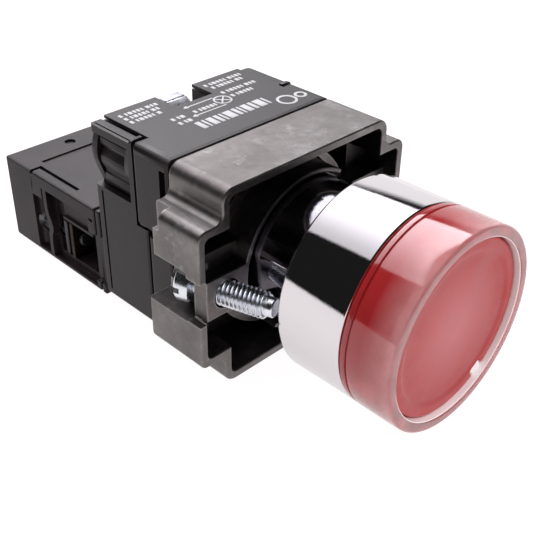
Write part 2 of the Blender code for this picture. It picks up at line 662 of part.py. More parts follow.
def lamp():
    """Miniature bayonet lamp: glass, brass cap with two pins, and the solder tip."""
    glass_profile = [(0.0, 13.6)] + arc(0.0, 8.6, 5.0, 75.0, 0.0, count=6)
    glass_profile += [(5.0, 1.5), (4.2, -1.2), (4.2, -2.6), (0.0, -2.6)]
    paint(smooth(turned("lamp_glass", glass_profile, steps=INNER_ROUND, closed=False)), GLASS)
    cap_profile = [(0.0, -2.85), (4.35, -2.85), (4.6, -3.1), (4.6, -11.6), (3.4, -12.4), (0.0, -12.4)]
    cap = turned("lamp_cap", cap_profile, steps=INNER_ROUND, closed=False)
    for side in (-1, 1):
        low, high = sorted((side * 4.0, side * 5.15))
        add(cap, box(f"cap_pin_{side}", (low, -0.6, -6.9), (high, 0.6, -5.7), cutter=True))
    paint(smooth(cap), BRASS)
    tip = turned("lamp_tip", [(0.0, -12.65), (1.5, -12.65), (1.3, -13.2), (0.0, -13.45)], steps=24,
                 closed=False)
    paint(smooth(tip), SILVER)


def lamp_holder():
    """Brass shell in the lamp tube with an entry slot for each pin."""
    shell = turned("lamp_holder", [(5.3, -3.4), (5.3, -18.6), (4.85, -18.6), (4.85, -3.4)],
                   steps=INNER_ROUND)
    for side in (-1, 1):
        low, high = sorted((side * 4.0, side * 6.0))
        cut(shell, box(f"pin_slot_{side}", (low, -0.9, -7.2), (high, 0.9, 0.0), cutter=True))
    return paint(smooth(shell), BRASS)


def mirrored(low, high, side):
    """A box's corners, turned half round the push axis when side is -1."""
    if side > 0:
        return low, high
    return (-high[0], -high[1], low[2]), (-low[0], -low[1], high[2])


def lamp_strip(name, side, screw_y, start):
    """Bent strip through the case to a terminal plate; start gives its pieces at the lamp's end."""
    left, right = STRIP_X
    rear, front = TERMINAL_PLATE
    turn = CASE_CAVITY_Y - 0.4
    pieces = start + [mirrored((left, turn - 0.45, rear), (right, turn, start[-1][1][2]), side)]
    pieces.append(mirrored((left, turn - 0.45, rear), (right, TERMINAL_FLOOR + 0.7, front), side))
    pieces.append(mirrored((left, TERMINAL_FLOOR + 0.25, rear), (1.3, screw_y + 1.6, front), side))
    plate = strip(name, pieces, BRASS)
    cut(plate, rod(f"{name}_thread", 1.35, -30.0, -20.0, side * TERMINAL_X, side * screw_y, cutter=True,
                   sides=20))


def lamp_strips():
    """One strip from the holder's shell and one from under the lamp's tip."""
    left, right = STRIP_X
    turn = CASE_CAVITY_Y - 0.4
    lamp_strip("shell_strip", 1, UPPER_SCREW_Y, [((left, 3.2, -19.3), (right, turn, -18.85))])
    lamp_strip("tip_strip", -1, LOWER_SCREW_Y, [
        ((-1.0, -0.25, -19.4), (1.0, 0.25, -13.75)),
        ((-1.0, -1.0, -19.7), (-left, 1.0, -19.3)),
        ((-right, -turn, -19.7), (-left, 1.0, -19.3)),
    ])


def light_terminal(name, side, screw_y, rear):
    """Terminal screw, driven from behind, and the L-shaped clamp that its head pulls on to the wire."""
    lip = (-2.6, TERMINAL_FLOOR + 0.3, -26.4), (0.9, screw_y + 2.2, -25.9)
    cover = (-2.3, screw_y + 1.85, rear), (0.6, screw_y + 2.25, -24.5)
    clamp = box(f"{name}_clamp", *mirrored(*lip, side))
    add(clamp, box(f"{name}_clamp_cover", *mirrored(*cover, side), cutter=True))
    x = side * TERMINAL_X
    y = side * screw_y
    cut(clamp, rod(f"{name}_clamp_hole", 1.3, -30.0, -20.0, x, y, cutter=True, sides=20))
    paint(smooth(clamp), BRIGHT_STEEL)
    axis = empty_at(f"{name}_screw_axis", x, y, 0.0)
    profile = [(0.0, -23.15), (1.0, -23.15), (1.0, -26.65), (1.4, -26.65), (1.4, -27.5), (1.2, -27.7),
               (0.0, -27.7)]
    screw = turned(f"{name}_screw", profile, steps=20, parent=axis, closed=False)
    cut(screw, box(f"{name}_slot", (-2.0, -0.25, -28.5), (2.0, 0.25, -27.1), axis, cutter=True))
    paint(smooth(screw), BRIGHT_STEEL)


# ---------------------------------------------------------------- contact block

def contact_block_case():
    """Housing of the contact: a chamber in the middle and a wire entry at each end."""
    case = box("contact_block_case", (-CONTACT_HALF_X, CONTACT_BOTTOM, BLOCK_REAR),
               (CONTACT_HALF_X, CONTACT_TOP, COVER_REAR - FIT), round_edges=0.35)
    cut(case, box("chamber", (-CHAMBER_HALF_X, CONTACT_BOTTOM + 1.4, CHAMBER_REAR),
                  (CHAMBER_HALF_X, CONTACT_TOP - 1.5, 0.0), cutter=True))
    cut(case, box("top_panel", (-11.9, CONTACT_TOP - 0.25, -47.7), (11.9, 5.0, -25.0), cutter=True))
    cut(case, rod("mould_mark", 0.95, -0.3, 3.0, cutter=True, sides=20))
    cutters.objects["mould_mark"].rotation_euler = (math.radians(-90.0), 0.0, 0.0)
    cutters.objects["mould_mark"].location = (-4.4 * MM, 0.0, -50.6 * MM)
    for side in (-1, 1):
        end = side * (CONTACT_HALF_X + 1.0)
        low, high = sorted((end, side * ENTRY_X))
        cut(case, box(f"wire_entry_{side}", (low, -12.7, -41.4), (high, -2.0, -30.4), cutter=True))
        hood_low, hood_high = sorted((side * HOOD_X, side * (ENTRY_X - 0.5)))
        add(case, box(f"hood_{side}", (hood_low, HOOD_BOTTOM, -39.4), (hood_high, -1.5, -31.2), cutter=True))
        low, high = sorted((end, side * (ENTRY_X + 0.4)))
        cut(case, box(f"screw_window_{side}", (low, -12.7, -46.4), (high, -4.0, -43.5), cutter=True))
        low, high = sorted((side * 12.8, side * 13.5))
        cut(case, box(f"top_groove_{side}", (low, CONTACT_TOP - 0.55, -46.4), (high, 5.0, -35.7),
                      cutter=True))
        low, high = sorted((side * 13.4, end))
        cut(case, box(f"top_groove_end_{side}", (low, CONTACT_TOP - 0.55, -46.4), (high, 5.0, -45.7),
                      cutter=True))
        shaft = rod(f"screwdriver_hole_{side}", 2.5, BLOCK_REAR - 1.0, -43.5, side * CONTACT_SCREW_X,
                    CONTACT_SCREW_Y,
                    cutter=True)
        shank = rod(f"shank_hole_{side}", 1.75, -44.0, -30.9, side * CONTACT_SCREW_X, CONTACT_SCREW_Y,
                    cutter=True)
        cut(case, shaft, shank)
        low, high = sorted((side * (CHAMBER_HALF_X - 0.5), side * (ENTRY_X + 0.5)))
        cut(case, box(f"plate_slot_{side}", (low, CONTACT_Y - 1.9, PLATE_TOP - PLATE_THICKNESS - 0.2),
                      (high, CONTACT_Y + 1.9, PLATE_TOP + 0.2), cutter=True))
    return paint(smooth(case), BLACK_PLASTIC)


def contact_block_cover():
    cover = box("contact_block_cover", (-CONTACT_HALF_X, CONTACT_BOTTOM, COVER_REAR),
                (CONTACT_HALF_X, CONTACT_TOP, COVER_FRONT), round_edges=0.25)
    cut(cover, box("cover_hole", (-2.1, CONTACT_Y - 1.9, -40.0), (2.1, CONTACT_Y + 1.9, 0.0), cutter=True))
    return paint(smooth(cover), BLACK_PLASTIC)


def contact_plunger(slide):
    """Stem that the push rod presses, with a shoulder for the bridge and one for the spring."""
    stem = box("contact_plunger", (-1.8, -1.6, -38.0), (1.8, 1.6, -29.3), slide, round_edges=0.15)
    nose = box("plunger_nose", (-1.4, -1.2, -31.0), (1.4, 0.4, ROD_REAR - FIT), slide, cutter=True)
    foot = box("plunger_shoulder", (-3.2, -2.6, PLUNGER_REAR),
               (3.2, 2.6, BRIDGE_TOP - BRIDGE_THICKNESS - FIT), slide, True)
    add(stem, nose, foot)
    return paint(smooth(stem), WHITE_PLASTIC)


def contact_bridge(slide):
    """Moving bridge slipped over the plunger, with a silver tip at each end."""
    bridge = box("contact_bridge", (-7.2, -2.4, BRIDGE_TOP - BRIDGE_THICKNESS), (7.2, 2.4, BRIDGE_TOP),
                 slide)
    cut(bridge, box("bridge_hole", (-2.0, -1.8, -40.0), (2.0, 1.8, 0.0), slide, cutter=True))
    for side in (-1, 1):
        tip_top = BRIDGE_TOP - BRIDGE_THICKNESS / 2.0
        add(bridge, rod(f"bridge_tip_{side}", 1.2, tip_top - 1.0, tip_top, side * 5.7, 0.0, slide, True,
                        sides=20))
    return paint(smooth(bridge), SILVER)


def fixed_contact(name, side):
    """Terminal plate that runs from the wire entry into the chamber and ends in a silver tip."""
    low, high = sorted((side * 4.4, side * 11.2))
    plate = box(name, (low, CONTACT_Y - 1.6, PLATE_TOP - PLATE_THICKNESS),
                (high, CONTACT_Y + 1.3, PLATE_TOP))
    low, high = sorted((side * 10.8, side * 14.3))
    pad = box(f"{name}_pad", (low, CONTACT_SCREW_Y - 3.15, PLATE_TOP - PLATE_THICKNESS - 0.02),
              (high, CONTACT_SCREW_Y + 3.15, PLATE_TOP + 0.02), cutter=True)
    tip_low = PLATE_TOP - PLATE_THICKNESS / 2.0
    tip = rod(f"{name}_tip", 1.2, tip_low, tip_low + 0.6, side * 5.7, CONTACT_Y, cutter=True, sides=20)
    add(plate, pad, tip)
    cut(plate, rod(f"{name}_thread", 1.55, -60.0, 0.0, side * CONTACT_SCREW_X, CONTACT_SCREW_Y, cutter=True))
    return paint(smooth(plate), BRASS)


def contact_screw(name, side):
    """Pan-head terminal screw, driven from behind, and the square washer it carries."""
    axis = empty_at(f"{name}_axis", side * CONTACT_SCREW_X, CONTACT_SCREW_Y, 0.0)
    profile = [
        (0.0, -36.2), (1.2, -36.2), (1.4, -36.5), (1.4, -43.8), (2.2, -43.8), (2.2, -45.4), (1.9, -45.8),
        (0.0, -45.8),
    ]
    screw = turned(name, profile, steps=20, parent=axis, closed=False)
    cut(screw, box(f"{name}_slot", (-3.0, -0.3, -47.0), (3.0, 0.3, -44.9), axis, cutter=True))
    paint(smooth(screw), BRIGHT_STEEL)
    washer_name = name.replace("screw", "washer")
    low, high = sorted((-side * 1.8, side * 2.2))
    washer = box(washer_name, (low, -3.0, WASHER_REAR), (high, 3.0, WASHER_REAR + 0.8), axis,
                 round_edges=0.15)
    cut(washer, rod(f"{washer_name}_hole", 1.65, -60.0, 0.0, parent=axis, cutter=True))
    paint(smooth(washer), BRIGHT_STEEL)


def contact_spring():
    low = CHAMBER_REAR + FIT
    return paint(coil("contact_spring", 2.2, 0.28, low, PLUNGER_REAR - FIT, 5, 0.0, CONTACT_Y, 10),
                 BRIGHT_STEEL)


# ---------------------------------------------------------------- assembly

button_slide = empty_at("button_slide_axis", 0.0, 0.0, 0.0)
upper_rod_slide = empty_at("upper_rod_slide_axis", 0.0, 0.0, 0.0)
lower_rod_slide = empty_at("lower_rod_slide_axis", 0.0, 0.0, 0.0)
contact_slide = empty_at("contact_slide_axis", 0.0, CONTACT_Y, 0.0)

head_body()
panel_gasket()
guard_ring()
push_lens(button_slide)
lens_diffuser(button_slide)
lens_carrier(button_slide)
return_spring()
carrier_seal()
collar()
clamp_screw("clamp_screw_left", -1)
clamp_screw("clamp_screw_right", 1)
light_block_base()
light_block_case()
latch_lever("latch_lever_left", -1)
latch_lever("latch_lever_right", 1)
push_rod("push_rod_upper", 1, upper_rod_slide)
push_rod("push_rod_lower", -1, lower_rod_slide)
lamp()
lamp_holder()
lamp_strips()
light_terminal("lamp_terminal_upper", 1, UPPER_SCREW_Y, -28.0)
light_terminal("lamp_terminal_lower", -1, LOWER_SCREW_Y, -27.6)
contact_block_case()
contact_block_cover()
contact_plunger(contact_slide)
contact_bridge(contact_slide)
fixed_contact("fixed_contact_left", -1)
fixed_contact("fixed_contact_right", 1)
contact_screw("contact_screw_left", -1)
contact_screw("contact_screw_right", 1)
contact_spring()
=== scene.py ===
"""Looks of an illuminated panel push-button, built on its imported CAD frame.

Pieces are modelled in a working frame of millimetres: x across, y up from the push axis, and h along the
push axis towards the user, with h = 0 at the collar's front rim. LAY carries that frame into the row frame.
"""
import math

import bmesh
import bpy
from mathutils import Matrix, Vector


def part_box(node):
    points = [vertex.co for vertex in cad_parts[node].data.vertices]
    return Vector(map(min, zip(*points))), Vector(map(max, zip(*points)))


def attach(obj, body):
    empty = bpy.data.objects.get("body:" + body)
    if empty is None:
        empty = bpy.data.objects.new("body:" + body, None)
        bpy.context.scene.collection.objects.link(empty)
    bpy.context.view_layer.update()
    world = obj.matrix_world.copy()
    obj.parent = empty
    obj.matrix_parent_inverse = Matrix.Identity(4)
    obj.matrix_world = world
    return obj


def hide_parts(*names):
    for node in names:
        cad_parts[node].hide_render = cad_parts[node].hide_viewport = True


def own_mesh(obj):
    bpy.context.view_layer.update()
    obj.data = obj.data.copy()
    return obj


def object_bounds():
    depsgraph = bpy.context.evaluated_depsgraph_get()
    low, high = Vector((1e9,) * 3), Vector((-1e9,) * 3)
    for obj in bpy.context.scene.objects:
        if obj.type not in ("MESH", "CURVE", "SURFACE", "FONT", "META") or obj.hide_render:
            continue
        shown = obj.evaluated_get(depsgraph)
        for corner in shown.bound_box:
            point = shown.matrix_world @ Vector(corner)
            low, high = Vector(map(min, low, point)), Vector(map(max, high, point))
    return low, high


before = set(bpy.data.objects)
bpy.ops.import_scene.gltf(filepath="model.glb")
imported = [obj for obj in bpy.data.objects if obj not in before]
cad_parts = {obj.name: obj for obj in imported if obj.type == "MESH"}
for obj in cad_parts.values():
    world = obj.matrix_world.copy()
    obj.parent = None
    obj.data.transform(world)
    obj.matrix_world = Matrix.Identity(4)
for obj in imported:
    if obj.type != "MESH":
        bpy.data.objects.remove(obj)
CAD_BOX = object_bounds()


def add_to_scene(item):
    bpy.context.scene.collection.objects.link(item)


def spun(degrees, axis):
    return Matrix.Rotation(math.radians(degrees), 4, axis)


# ---- working frame

collar_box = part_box("collar")
head_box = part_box("head_body")
FRONT_RIM = collar_box[0].y
AXIS_X = (head_box[0].x + head_box[1].x) / 2.0
AXIS_Z = (head_box[0].z + head_box[1].z) / 2.0
MM = 0.001
LAY = Matrix.Translation((AXIS_X, FRONT_RIM, AXIS_Z)) @ spun(90.0, "X") @ Matrix.Scale(MM, 4)
UNLAY = LAY.inverted()
ROUND = 160                            # sides of a large round shape
HANDS = {-1: "left", 1: "right"}


def span(node):
    """Lowest and highest corner of a CAD node in the working frame."""
    corners = [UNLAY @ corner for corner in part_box(node)]
    return Vector(map(min, *corners)), Vector(map(max, *corners))


head_low, head_high = span("head_body")
ring_low, ring_high = span("guard_ring")
lens_low, lens_high = span("push_lens")


# ---- shapes

def piece_from(name, build):
    bmesh.ops.recalc_face_normals(build, faces=build.faces)
    mesh = bpy.data.meshes.new(name)
    build.to_mesh(mesh)
    build.free()
    piece = bpy.data.objects.new(name, mesh)
    add_to_scene(piece)
    return piece


def settle(piece):
    """Apply the piece's modifiers to its mesh."""
    bpy.context.view_layer.update()
    graph = bpy.context.evaluated_depsgraph_get()
    mesh = bpy.data.meshes.new_from_object(piece.evaluated_get(graph))
    piece.modifiers.clear()
    piece.data = mesh
    return piece


def combine(piece, tools, operation):
    for tool in tools:
        change = piece.modifiers.new("change", "BOOLEAN")
        change.operation = operation
        change.object = tool
        change.solver = "EXACT"
        settle(piece)
        bpy.data.objects.remove(tool)
    return piece


def carve(piece, *tools):
    return combine(piece, tools, "DIFFERENCE")


def join(piece, *tools):
    return combine(piece, tools, "UNION")


def weld(build, gap, angle):
    """Merge points closer than the gap and faces flatter than the angle, so bevels run along every edge."""
    bmesh.ops.remove_doubles(build, verts=build.verts, dist=gap)
    bmesh.ops.dissolve_limit(build, angle_limit=math.radians(angle), verts=build.verts, edges=build.edges)


def clean(piece):
    """Drop the slivers that booleans leave."""
    build = bmesh.new()
    build.from_mesh(piece.data)
    weld(build, 0.004, 0.6)
    build.to_mesh(piece.data)
    build.free()


def place(piece, matrix):
    """Move a piece's mesh inside the working frame."""
    piece.data.transform(matrix)
    return piece


def mirrored(piece, side):
    """Pieces are drawn on the left; the right side is their mirror image."""
    if side > 0:
        place(piece, Matrix.Diagonal((-1.0, 1.0, 1.0, 1.0)))
        piece.data.flip_normals()
    return piece


def arc(x, y, radius, start, end, count):
    angles = [math.radians(start + (end - start) * i / count) for i in range(count + 1)]
    return [(x + radius * math.cos(a), y + radius * math.sin(a)) for a in angles]


def grown(corners, grow):
    """Rounded-corner outline (x, y, radius) moved outwards by grow."""
    area = sum(a[0] * b[1] - b[0] * a[1] for a, b in zip(corners, corners[1:] + corners[:1]))
    turn = 1.0 if area > 0.0 else -1.0
    moved = []
    for i, (x, y, radius) in enumerate(corners):
        here = Vector((x, y))
        into = (here - Vector(corners[i - 1][:2])).normalized()
        out = (Vector(corners[(i + 1) % len(corners)][:2]) - here).normalized()
        normal_in = Vector((into.y, -into.x)) * turn
        normal_out = Vector((out.y, -out.x)) * turn
        shift = (normal_in + normal_out) / (1.0 + normal_in.dot(normal_out))
        convex = (into.x * out.y - into.y * out.x) * turn > 0.0
        moved.append((*(here + shift * grow), max(radius + (grow if convex else -grow), 0.02)))
    return moved


def rounded(corners, count):
    """An outline whose corners (x, y, radius) become arcs, whichever way they turn."""
    outline = []
    for i, (x, y, radius) in enumerate(corners):
        here = Vector((x, y))
        radius = max(radius, 0.001)
        before = (Vector(corners[i - 1][:2]) - here).normalized()
        after = (Vector(corners[(i + 1) % len(corners)][:2]) - here).normalized()
        half = before.angle(after) / 2.0
        centre = here + (before + after).normalized() * (radius / math.sin(half))
        start = here + before * (radius / math.tan(half)) - centre
        end = here + after * (radius / math.tan(half)) - centre
        sweep = start.angle_signed(end)
        for j in range(count + 1):
            spoke = start.copy()
            spoke.rotate(Matrix.Rotation(-sweep * j / count, 2))
            outline.append((centre.x + spoke.x, centre.y + spoke.y))
    return outline


def skinned(name, build, rows):
    """Skin over closed rows of points, with a cap at each end."""
    count = len(rows[0])
    for low, high in zip(rows, rows[1:]):
        for i in range(count):
            j = (i + 1) % count
            build.faces.new((low[i], low[j], high[j], high[i]))
    build.faces.new(rows[0])
    build.faces.new(rows[-1])
    return piece_from(name, build)


def lofted(name, rings):
    """A solid through rings, each a list of (x, y) points and a height."""
    build = bmesh.new()
    rows = [[build.verts.new((x, y, height)) for x, y in outline] for outline, height in rings]
    return skinned(name, build, rows)


def quarter_turn(steps):
    """Pairs (1 - sine, 1 - cosine) at even steps through a quarter of a circle."""
    angles = [math.radians(90.0 * k / steps) for k in range(steps + 1)]
    return [(1.0 - math.sin(a), 1.0 - math.cos(a)) for a in angles]


def plate(name, corners, low, high, front, rear, count, steps=4):
    """Extruded outline with its front and rear edges rounded."""
    rings = []
    for less_sine, less_cosine in quarter_turn(steps):
        outline = rounded(grown(corners, -rear * less_sine), count)
        rings.append((outline, low + rear * less_cosine))
    for less_sine, less_cosine in quarter_turn(steps):
        outline = rounded(grown(corners, -front * less_cosine), count)
        rings.append((outline, high - front * less_sine))
    return lofted(name, rings)


def pocket(name, corners, low, high):
    """Cutter whose mouth at height high widens into a rounded rim."""
    flare, count = 0.22, 10
    rings = [(rounded(corners, count), low)]
    for less_sine, less_cosine in quarter_turn(4):
        outline = rounded(grown(corners, flare * less_cosine), count)
        rings.append((outline, high - flare * less_sine))
    rings.append((rounded(grown(corners, flare), count), high + 1.0))
    return lofted(name, rings)


def turned(name, profile, steps=ROUND, closed=True):
    """A profile of (radius, height) points turned round the push axis; radius 0 ends in a pole."""
    build = bmesh.new()
    rows = []
    for radius, height in profile:
        if radius < 1e-6:
            rows.append([build.verts.new((0.0, 0.0, height))])
            continue
        angles = [2.0 * math.pi * i / steps for i in range(steps)]
        rows.append([build.verts.new((radius * math.cos(a), radius * math.sin(a), height)) for a in angles])
    pairs = list(zip(rows, rows[1:]))
    if closed:
        pairs.append((rows[-1], rows[0]))
    for low, high in pairs:
        for i in range(steps):
            j = (i + 1) % steps
            corners = [low[i % len(low)], low[j % len(low)], high[j % len(high)], high[i % len(high)]]
            build.faces.new(list(dict.fromkeys(corners)))
    return piece_from(name, build)


def soften(points, count=5, closed=True):
    """A profile of (r, h, radius) corners with each corner rounded; an open one keeps its two ends."""
    if closed:
        return rounded(points, count)
    middle = rounded(points, count)
    return [points[0][:2]] + middle[count + 1:-(count + 1)] + [points[-1][:2]]


def block(name, low, high, edge, segments=2):
    """A box between two corners with its edges rounded."""
    low, high = Vector(map(min, low, high)), Vector(map(max, low, high))
    size = high - low
    build = bmesh.new()
    fit = Matrix.Translation((low + high) / 2.0) @ Matrix.Diagonal((*size, 1.0))
    bmesh.ops.create_cube(build, size=1.0, matrix=fit)
    if edge:
        bmesh.ops.bevel(build, geom=build.edges[:], offset=min(edge, min(size) * 0.45), segments=segments,
                        affect="EDGES", profile=0.5)
    return piece_from(name, build)


def rod(name, radius, low, high, x=0.0, y=0.0, sides=64, edge=0.0):
    """A cylinder along h, its ends chamfered by edge."""
    profile = [(0.0, low), (radius, low), (radius, high), (0.0, high)]
    if edge:
        profile = [(0.0, low), (radius - edge, low), (radius, low + edge),
                   (radius, high - edge), (radius - edge, high), (0.0, high)]
    return place(turned(name, profile, steps=sides, closed=False), Matrix.Translation((x, y, 0.0)))


def from_cad(name, node):
    """The CAD node's own mesh in the working frame, welded back into plain faces, ready for finer work."""
    build = bmesh.new()
    build.from_mesh(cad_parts[node].data)
    build.transform(UNLAY)
    weld(build, 0.003, 0.5)
    return piece_from(name, build)


def threaded(name, radius, root, pitch, low, high):
    """A shank with a helical thread: rows of vertices follow the helix, so each crest is one clean edge."""
    sides, levels = 48, 8
    build = bmesh.new()
    turns = int((high - low) / pitch) + 1
    rows = []
    for n in range(turns * sides + 1):
        angle = 2.0 * math.pi * n / sides
        row = []
        for k in range(levels):
            height = low - pitch + pitch * (n / sides + k / levels)
            share = abs(2.0 * k / levels - 1.0)
            crest = min(max(share * 1.5 - 0.2, 0.0), 1.0)
            fade = min(max((height - low) / pitch, 0.0), max((high - height) / pitch, 0.0), 1.0)
            r = root + (radius - root) * crest * fade
            height = min(max(height, low), high)
            row.append(build.verts.new((r * math.cos(angle), r * math.sin(angle), height)))
        rows.append(row)
    for n in range(len(rows) - 1):
        for k in range(levels - 1):
            build.faces.new((rows[n][k], rows[n + 1][k], rows[n + 1][k + 1], rows[n][k + 1]))
        if n + 1 + sides < len(rows):
            build.faces.new((rows[n][-1], rows[n + 1][-1], rows[n + 1 + sides][0], rows[n + sides][0]))
    bmesh.ops.remove_doubles(build, verts=build.verts, dist=0.0005)
    bmesh.ops.dissolve_degenerate(build, edges=build.edges, dist=0.0005)
    bmesh.ops.holes_fill(build, edges=[edge for edge in build.edges if edge.is_boundary], sides=0)
    return piece_from(name, build)


def finish(piece, body, nodes, material, bevel=0.0, angle=32.0):
    """Lay the piece in the row frame, round its edges, give it its material and make it ride on its body."""
    piece.data.transform(LAY)
    piece.data.materials.clear()
    piece.data.materials.append(material)
    piece.data.shade_smooth()
    piece.data.set_sharp_from_angle(angle=math.radians(angle))
    if bevel:
        edge = piece.modifiers.new("edges", "BEVEL")
        edge.width = bevel * MM
        edge.segments = 2
        edge.limit_method = "ANGLE"
        edge.angle_limit = math.radians(angle)
        edge.miter_outer = "MITER_ARC"
        level = piece.modifiers.new("flat_faces", "WEIGHTED_NORMAL")
        level.keep_sharp = True
    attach(piece, body)
    if nodes:
        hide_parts(*nodes)


# ---- materials

class Wiring:
    """A node tree built in code: each call adds a node and returns its output."""

    def __init__(self, tree):
        self.nodes = tree.nodes
        self.links = tree.links

    def feed(self, socket, value):
        if isinstance(value, bpy.types.NodeSocket):
            self.links.new(value, socket)
        elif isinstance(value, tuple) and len(value) == 3 and socket.type == "RGBA":
            socket.default_value = (*value, 1.0)
        else:
            socket.default_value = value

    def add(self, kind, **values):
        """A new node with the named inputs fed."""
        node = self.nodes.new("ShaderNode" + kind)
        for key, value in values.items():
            self.feed(node.inputs[key], value)
        return node

    def range(self, value, low, high, to_low, to_high, interpolation="LINEAR"):
        node = self.add("MapRange")
        node.interpolation_type = interpolation
        for socket, number in zip(node.inputs, (value, low, high, to_low, to_high)):
            self.feed(socket, number)
        return node.outputs["Result"]

    def math(self, operation, a, b=0.0):
        node = self.add("Math")
        node.operation = operation
        self.feed(node.inputs[0], a)
        self.feed(node.inputs[1], b)
        return node.outputs["Value"]

    def dot(self, a, b):
        node = self.add("VectorMath")
        node.operation = "DOT_PRODUCT"
        self.feed(node.inputs[0], a)
        self.feed(node.inputs[1], b)
        return node.outputs["Value"]

    def part(self, vector, axis):
        return self.add("SeparateXYZ", Vector=vector).outputs[axis]

    def rays(self, weights):
        """The sum of the weights of the kinds of ray that see the surface."""
        path = self.add("LightPath")
        total = 0.0
        for kind, weight in weights.items():
            total = self.math("ADD", total, self.math("MULTIPLY", path.outputs[kind], weight))
        return total


class Paint(Wiring):
    """A procedural material round one Principled shader."""

    def __init__(self, name):
        self.material = bpy.data.materials.new(name)
        self.material.use_nodes = True
        super().__init__(self.material.node_tree)
        self.shader = self.nodes["Principled BSDF"]
        self.place = self.add("TexCoord").outputs["Object"]

    def set(self, **values):
        for key, value in values.items():
            self.feed(self.shader.inputs[key.replace("_", " ")], value)

    def scaled(self, scale):
        return self.add("Mapping", Vector=self.place, Scale=scale).outputs["Vector"]

    def noise(self, size_mm, detail, roughness=0.55, vector=None):
        node = self.add("TexNoise", Vector=vector or self.place, Scale=1.0 / (size_mm * MM),
                        Detail=detail, Roughness=roughness)
        return node.outputs["Fac"]

    def cells(self, size_mm):
        return self.add("TexVoronoi", Vector=self.place, Scale=1.0 / (size_mm * MM)).outputs["Distance"]

    def ramp(self, value, *stops):
        node = self.add("ValToRGB", Fac=value)
        elements = node.color_ramp.elements
        while len(elements) < len(stops):
            elements.new(0.5)
        for element, (at, colour) in zip(elements, stops):
            element.position = at
            element.color = (colour, colour, colour, 1.0) if isinstance(colour, float) else (*colour, 1.0)
        return node.outputs["Color"]

    def mix(self, share, a, b):
        node = self.add("Mix")
        node.data_type = "RGBA"
        sockets = [s for s in node.inputs if s.type == "RGBA"]
        self.feed(node.inputs[0], share)
        self.feed(sockets[0], a)
        self.feed(sockets[1], b)
        return [s for s in node.outputs if s.type == "RGBA"][0]

    def bump(self, height, depth_mm, normal=None):
        node = self.add("Bump", Strength=1.0, Distance=depth_mm * MM, Height=height)
        if normal is not None:
            self.feed(node.inputs["Normal"], normal)
        return node.outputs["Normal"]

    def edges(self, radius_mm, low, high):
        """1 on edges within the radius, 0 on open faces."""
        rounder = self.add("Bevel", Radius=radius_mm * MM)
        rounder.samples = 4
        geometry = self.add("NewGeometry")
        facing = self.dot(rounder.outputs["Normal"], geometry.outputs["Normal"])
        return self.range(self.math("SUBTRACT", 1.0, facing), low, high, 0.0, 1.0)

    def along(self, axis):
        return self.part(self.place, axis)


def chrome():
    paint = Paint("polished_chrome")
    haze = paint.noise(6.0, 3.0)
    specks = paint.ramp(paint.cells(1.7), (0.0, 1.0), (0.045, 0.0))
    # The neck behind the bezel gets a darker, plum-tinted chrome colour: a painted reflection of the dark
    # collar interior round it.
    neck = paint.range(paint.along("Y"), FRONT_RIM - 7.6 * MM, FRONT_RIM - 7.2 * MM, 0.0, 1.0)
    grain = paint.noise(0.35, 5.0, 0.7)
    bright = paint.mix(haze, (0.83, 0.80, 0.82), (0.78, 0.75, 0.77))
    flecks = paint.ramp(paint.noise(0.22, 2.0), (0.45, 0.0), (0.62, 1.0))
    painted_reflection_plum = paint.mix(flecks, (0.66, 0.65, 0.71), (0.54, 0.51, 0.62))
    tone = paint.mix(neck, bright, painted_reflection_plum)
    paint.set(Base_Color=paint.mix(specks, tone, (0.55, 0.53, 0.54)), Metallic=1.0, IOR=2.6)
    rough = paint.range(haze, 0.3, 0.7, 0.025, 0.06)
    worn = paint.range(grain, 0.35, 0.75, 0.04, 0.09)
    paint.set(Roughness=paint.mix(neck, rough, worn))
    paint.set(Normal=paint.bump(grain, 0.004, paint.bump(haze, 0.01)))
    return paint.material


def cast_zinc():
    paint = Paint("tumbled_cast_zinc")
    broad = paint.noise(7.0, 5.0, 0.6)
    fine = paint.noise(0.8, 6.0, 0.7)
    grit = paint.noise(0.16, 3.0, 0.6)
    rub = paint.noise(1.6, 5.0, 0.65, paint.scaled((1.0, 0.35, 1.0)))
    edge = paint.math("MULTIPLY", paint.edges(0.45, 0.01, 0.22), paint.range(rub, 0.35, 0.62, 0.35, 1.0))
    dark, middle, light = (0.150, 0.136, 0.132), (0.235, 0.218, 0.212), (0.330, 0.315, 0.310)
    base = paint.ramp(broad, (0.30, dark), (0.52, middle), (0.74, light))
    base = paint.mix(paint.range(fine, 0.42, 0.60, 0.0, 0.5), base, (0.160, 0.148, 0.146))
    stain = paint.ramp(paint.noise(2.6, 5.0, 0.6), (0.60, 0.0), (0.70, 0.6))
    base = paint.mix(stain, base, (0.36, 0.345, 0.335))
    base = paint.mix(edge, base, (0.46, 0.45, 0.44))
    paint.set(Base_Color=base, Metallic=1.0, Roughness=paint.range(fine, 0.3, 0.7, 0.50, 0.38))
    dents = paint.ramp(paint.cells(2.3), (0.0, 0.0), (0.35, 1.0))
    normal = paint.bump(dents, 0.03, paint.bump(fine, 0.035, paint.bump(grit, 0.012)))
    paint.set(Normal=normal)
    return paint.material


